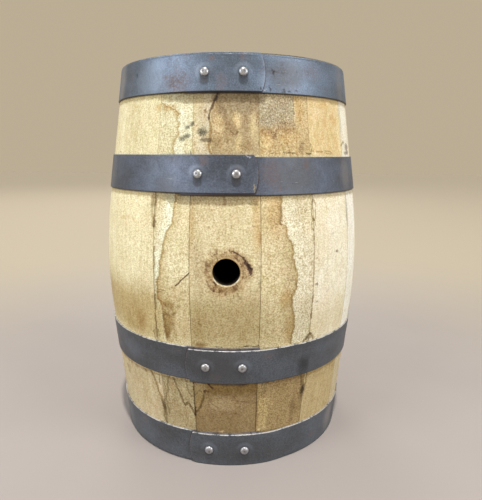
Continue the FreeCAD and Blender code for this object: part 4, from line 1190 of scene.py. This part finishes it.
# Hoop: its strip, its tone, how bright its upper edge is, and its marks in the order of painting. A mark is
# its kind, angle, height, half width, half height and strength. The tones are painted light: lighter and
# bluer on the upper hoops, darker on the lower ones. The upper edge's brightness is wear, and on the lower
# hoops a painted highlight too. sheen and haze marks are painted reflections. dull marks are painted shade
# where reflections fall darker, and the dull mark under the lower quarter hoop's right rivet is that rivet's
# painted shadow.
HOOPS = {
    "top_head_hoop": (
        HoopStrip(*HEAD_HOOP, -1.5, lower=False, lipped=True), (0.92, 1.07, 1.22), 0.1,
        [("sheen", -37, 412, 26, 18, 0.54), ("sheen", -33, 426, 16, 6, 0.5),
         ("dull", -55, 416, 9, 30, 0.25), ("haze", -63, 414, 14, 30, 0.75),
         ("rust", -50, 416, 1.6, 22, 0.45), ("dull", 25, 414, 24, 18, 0.9), ("sheen", 15, 408, 9, 9, 0.45),
         ("haze", 62, 414, 12, 30, 0.35), ("rust", -21, 407, 16, 12, 0.7), ("rust", -6.3, 429, 4, 3.4, 0.9),
         ("rust", 6.6, 430, 4, 4.5, 0.6), ("rust", -27.5, 412, 4, 3, 0.55), ("rust", 39, 420, 19, 10, 0.32),
         ("rust", -2.5, 406, 7, 9, 0.65), ("pit", 19.2, 416.5, 1.7, 2.8, 0.95),
         ("pit", 30, 418, 1.2, 1.2, 0.8), ("pit", 13.4, 398.8, 1.8, 1.8, 0.95),
         ("pit", 17.4, 400, 1.4, 3, 0.95), ("pit", 23.5, 398.8, 2.4, 1.8, 0.95),
         ("pit", 25.7, 398.3, 2, 1.6, 0.95), ("pit", 29.8, 400, 1.2, 1.2, 0.8),
         ("pit", -46, 418, 1.6, 1.6, 0.8), ("scuff", 15, 399.5, 2.4, 1.4, 0.55)]),
    "upper_quarter_hoop": (
        HoopStrip(*QUARTER_HOOP, -3.7, lower=False, lipped=False), (0.71, 0.77, 0.88), 0.12,
        [("dull", 27, 316, 32, 26, 1), ("pit", 31, 316, 24, 30, 0.42), ("dull", -24, 308, 14, 12, 0.4),
         ("rust", -8.6, 330, 4.6, 5, 0.8), ("rust", 32.6, 327, 4, 8, 0.6), ("rust", 17, 318, 11, 17, 0.6),
         ("rust", 4, 318, 4, 10, 0.35), ("rust", 20.6, 303, 3, 3, 0.7), ("haze", 60, 315, 14, 20, 0.45),
         ("haze", -64, 315, 12, 20, 0.3), ("brass", 10.2, 303.5, 1, 4, 0.6),
         ("scuff", 8.2, 333.6, 3.4, 0.8, 0.8)]),
    "lower_quarter_hoop": (
        HoopStrip(*QUARTER_HOOP, -1.0, lower=True, lipped=False), (0.68, 0.68, 0.66), 1.0,
        [("rust", -4.3, 107.5, 7, 4, 0.55), ("rust", 16.5, 130, 7, 3.5, 0.5),
         ("pit", 33.5, 110, 9, 12, 0.75), ("sheen", -46, 118, 20, 14, 0.2), ("dull", 6.6, 107, 5, 7, 0.6),
         ("dull", -4, 121, 34, 18, 0.75)]),
    "bottom_head_hoop": (
        HoopStrip(*HEAD_HOOP, 0.0, lower=True, lipped=False), (0.76, 0.77, 0.74), 1.0,
        [("rust", 44.7, 15, 5, 3.6, 0.95), ("rust", -43.8, 31, 3.4, 6, 0.85), ("dull", 4, 22, 50, 20, 0.35),
         ("haze", 60, 22, 14, 18, 0.75), ("haze", -62, 22, 12, 18, 0.3), ("sheen", -42, 20, 20, 14, 0.2)]),
}


def drawn_hoop_marks(draw, low, high):
    """Rust and pit patches, with sheen patches as painted reflection and dull ones as painted shade, placed
    by lot on the side that the front never shows.
    """
    kinds = (("rust", 0.7), ("rust", 0.45), ("dull", 0.6), ("sheen", 0.4), ("pit", 0.7))
    marks = []
    for _ in range(9):
        kind, strength = draw.choice(kinds)
        half_width = draw.uniform(1.0, 2.0) if kind == "pit" else draw.uniform(4.0, 20.0)
        half_height = half_width * draw.uniform(0.5, 1.0)
        place = draw.uniform(80.0, 175.0) * draw.choice((-1, 1))
        marks.append((kind, place, draw.uniform(low, high), half_width, half_height, strength))
    return marks


def dress_steel():
    draw = random.Random(23)
    bright = rivet_steel()
    for number, (node, (hoop, tone, edge_wear_and_highlight, marks)) in enumerate(HOOPS.items()):
        low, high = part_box(node)
        marks = marks + drawn_hoop_marks(draw, low.z / MM, high.z / MM)
        steel = hoop_steel(f"steel_{node}", 3.0 + 5.0 * number, tone, edge_wear_and_highlight, marks)
        hoop.build(node + "_strip", steel)
        hoop.build_rivets(node + "_rivets_heads", bright)


# ---- stage, lights and camera, in metres


FLOOR_HALF = 8.0
FLOOR_COLOUR = (0.320, 0.278, 0.250)
BACKDROP_COLOUR = (0.500, 0.420, 0.300)
FLOOR_FADE = (250.0, 1100.0)  # millimetres from the cask where the floor takes on the backdrop's colour
FLOOR_LIGHT = 1.32  # what the floor returns for each unit of its colour
AMBIENT_LOW = (0.24, 0.235, 0.22)
AMBIENT_HIGH = (0.50, 0.515, 0.55)
AMBIENT_RISE = (0.1, 0.7)  # upward share of the direction where the light turns from low to high
PANEL = {"shape": "RECTANGLE", "size": 1.6, "size_y": 1.2}
COOL = (0.88, 0.93, 1.0)

CAMERA_PLACE = (0.0241, -0.6211, 0.3362)
CAMERA_HEADING = math.radians(1.2)
CAMERA_PITCH = 0.1326
CAMERA_ROLL = 0.0057
PICTURE_HEIGHT = 500.0
FOCAL_PIXELS = 482.0
HORIZON_ABOVE_MIDDLE = 31.5  # pixels from the picture's middle up to the point straight ahead
SENSOR = 36.0


def make_floor():
    mesh = bpy.data.meshes.new("floor")
    corners = [(x * FLOOR_HALF, y * FLOOR_HALF, 0) for x, y in ((-1, -1), (1, -1), (1, 1), (-1, 1))]
    mesh.from_pydata(corners, [], [(0, 1, 2, 3)])
    sheet = Sheet("floor_paint")
    tone = sheet.noise(sheet.place, 160.0, 3.0, 0.5, 1.0)
    darker = tuple(0.9 * c for c in FLOOR_COLOUR)
    sheet.colour = sheet.mix(sheet.step(tone, 0.3, 0.7) * 0.3, FLOOR_COLOUR, darker)
    sheet.cover(sheet.step(sheet.from_axis, *FLOOR_FADE), tuple(c / FLOOR_LIGHT for c in BACKDROP_COLOUR))
    mesh.materials.append(sheet.finish(0.85))
    add_object("floor", mesh)


def make_world():
    """A plain room. What the camera and mirrors see of it is the backdrop; its light is soft and neutral."""
    world = bpy.data.worlds.new("studio")
    bpy.context.scene.world = world
    tree = Tree(world)
    _, _, upward = tree.split(tree.node("TexCoord").outputs["Generated"])
    low, high = AMBIENT_RISE
    height = tree.node("MapRange", {"Value": upward, "From Min": low, "From Max": high}).outputs[0]
    rays = tree.node("LightPath").outputs
    seen = tree.math("MAXIMUM", rays["Is Camera Ray"], rays["Is Glossy Ray"])
    seen = tree.math("MAXIMUM", seen, rays["Is Transmission Ray"])
    colour = tree.mix(seen, tree.mix(height, AMBIENT_LOW, AMBIENT_HIGH), BACKDROP_COLOUR)
    room = tree.node("Background", {"Color": colour, "Strength": 1.0})
    tree.node("OutputWorld", {"Surface": room.outputs[0]})


def make_lamp(name, kind, place, aim, energy, **settings):
    """A lamp at a place, turned towards a point. Of a sun's place only the direction matters."""
    light = bpy.data.lights.new(name, kind)
    light.energy = energy
    for key, value in settings.items():
        setattr(light, key, value)
    lamp = add_object(name, light)
    lamp.location = place
    lamp.rotation_euler = (Vector(place) - Vector(aim)).to_track_quat("Z", "Y").to_euler()


def make_lights():
    sun = {"angle": math.radians(2.0), "color": (1.0, 0.985, 0.96)}
    make_lamp("key", "SUN", (0.03, -0.30, 0.95), (0, 0, 0), 2.6, **sun)
    make_lamp("left_panel", "AREA", (-2.4, -1.7, 1.3), (0, 0, 0.35), 64.0, color=COOL, **PANEL)
    make_lamp("right_panel", "AREA", (2.6, -1.5, 1.3), (0, 0, 0.35), 64.0, color=COOL, **PANEL)
    make_lamp("back_panel", "AREA", (-0.8, 3.2, 2.6), (0, 0, 0.25), 40.0, **PANEL)


def make_camera():
    lens = bpy.data.cameras.new("camera")
    lens.sensor_width = SENSOR
    lens.lens = FOCAL_PIXELS / PICTURE_HEIGHT * SENSOR
    lens.shift_y = -HORIZON_ABOVE_MIDDLE / PICTURE_HEIGHT
    lens.clip_start = 0.01
    pose = Matrix.Translation(CAMERA_PLACE)
    for turn, axis in ((CAMERA_HEADING, "Z"), (math.pi / 2 - CAMERA_PITCH, "X"), (CAMERA_ROLL, "Z")):
        pose = pose @ Matrix.Rotation(turn, 4, axis)
    camera = add_object("camera", lens)
    camera.matrix_world = pose
    bpy.context.scene.camera = camera


dress_staves()
dress_heads()
dress_steel()
make_floor()
make_world()
make_lights()
make_camera()
bpy.context.scene.view_settings.view_transform = "Standard"
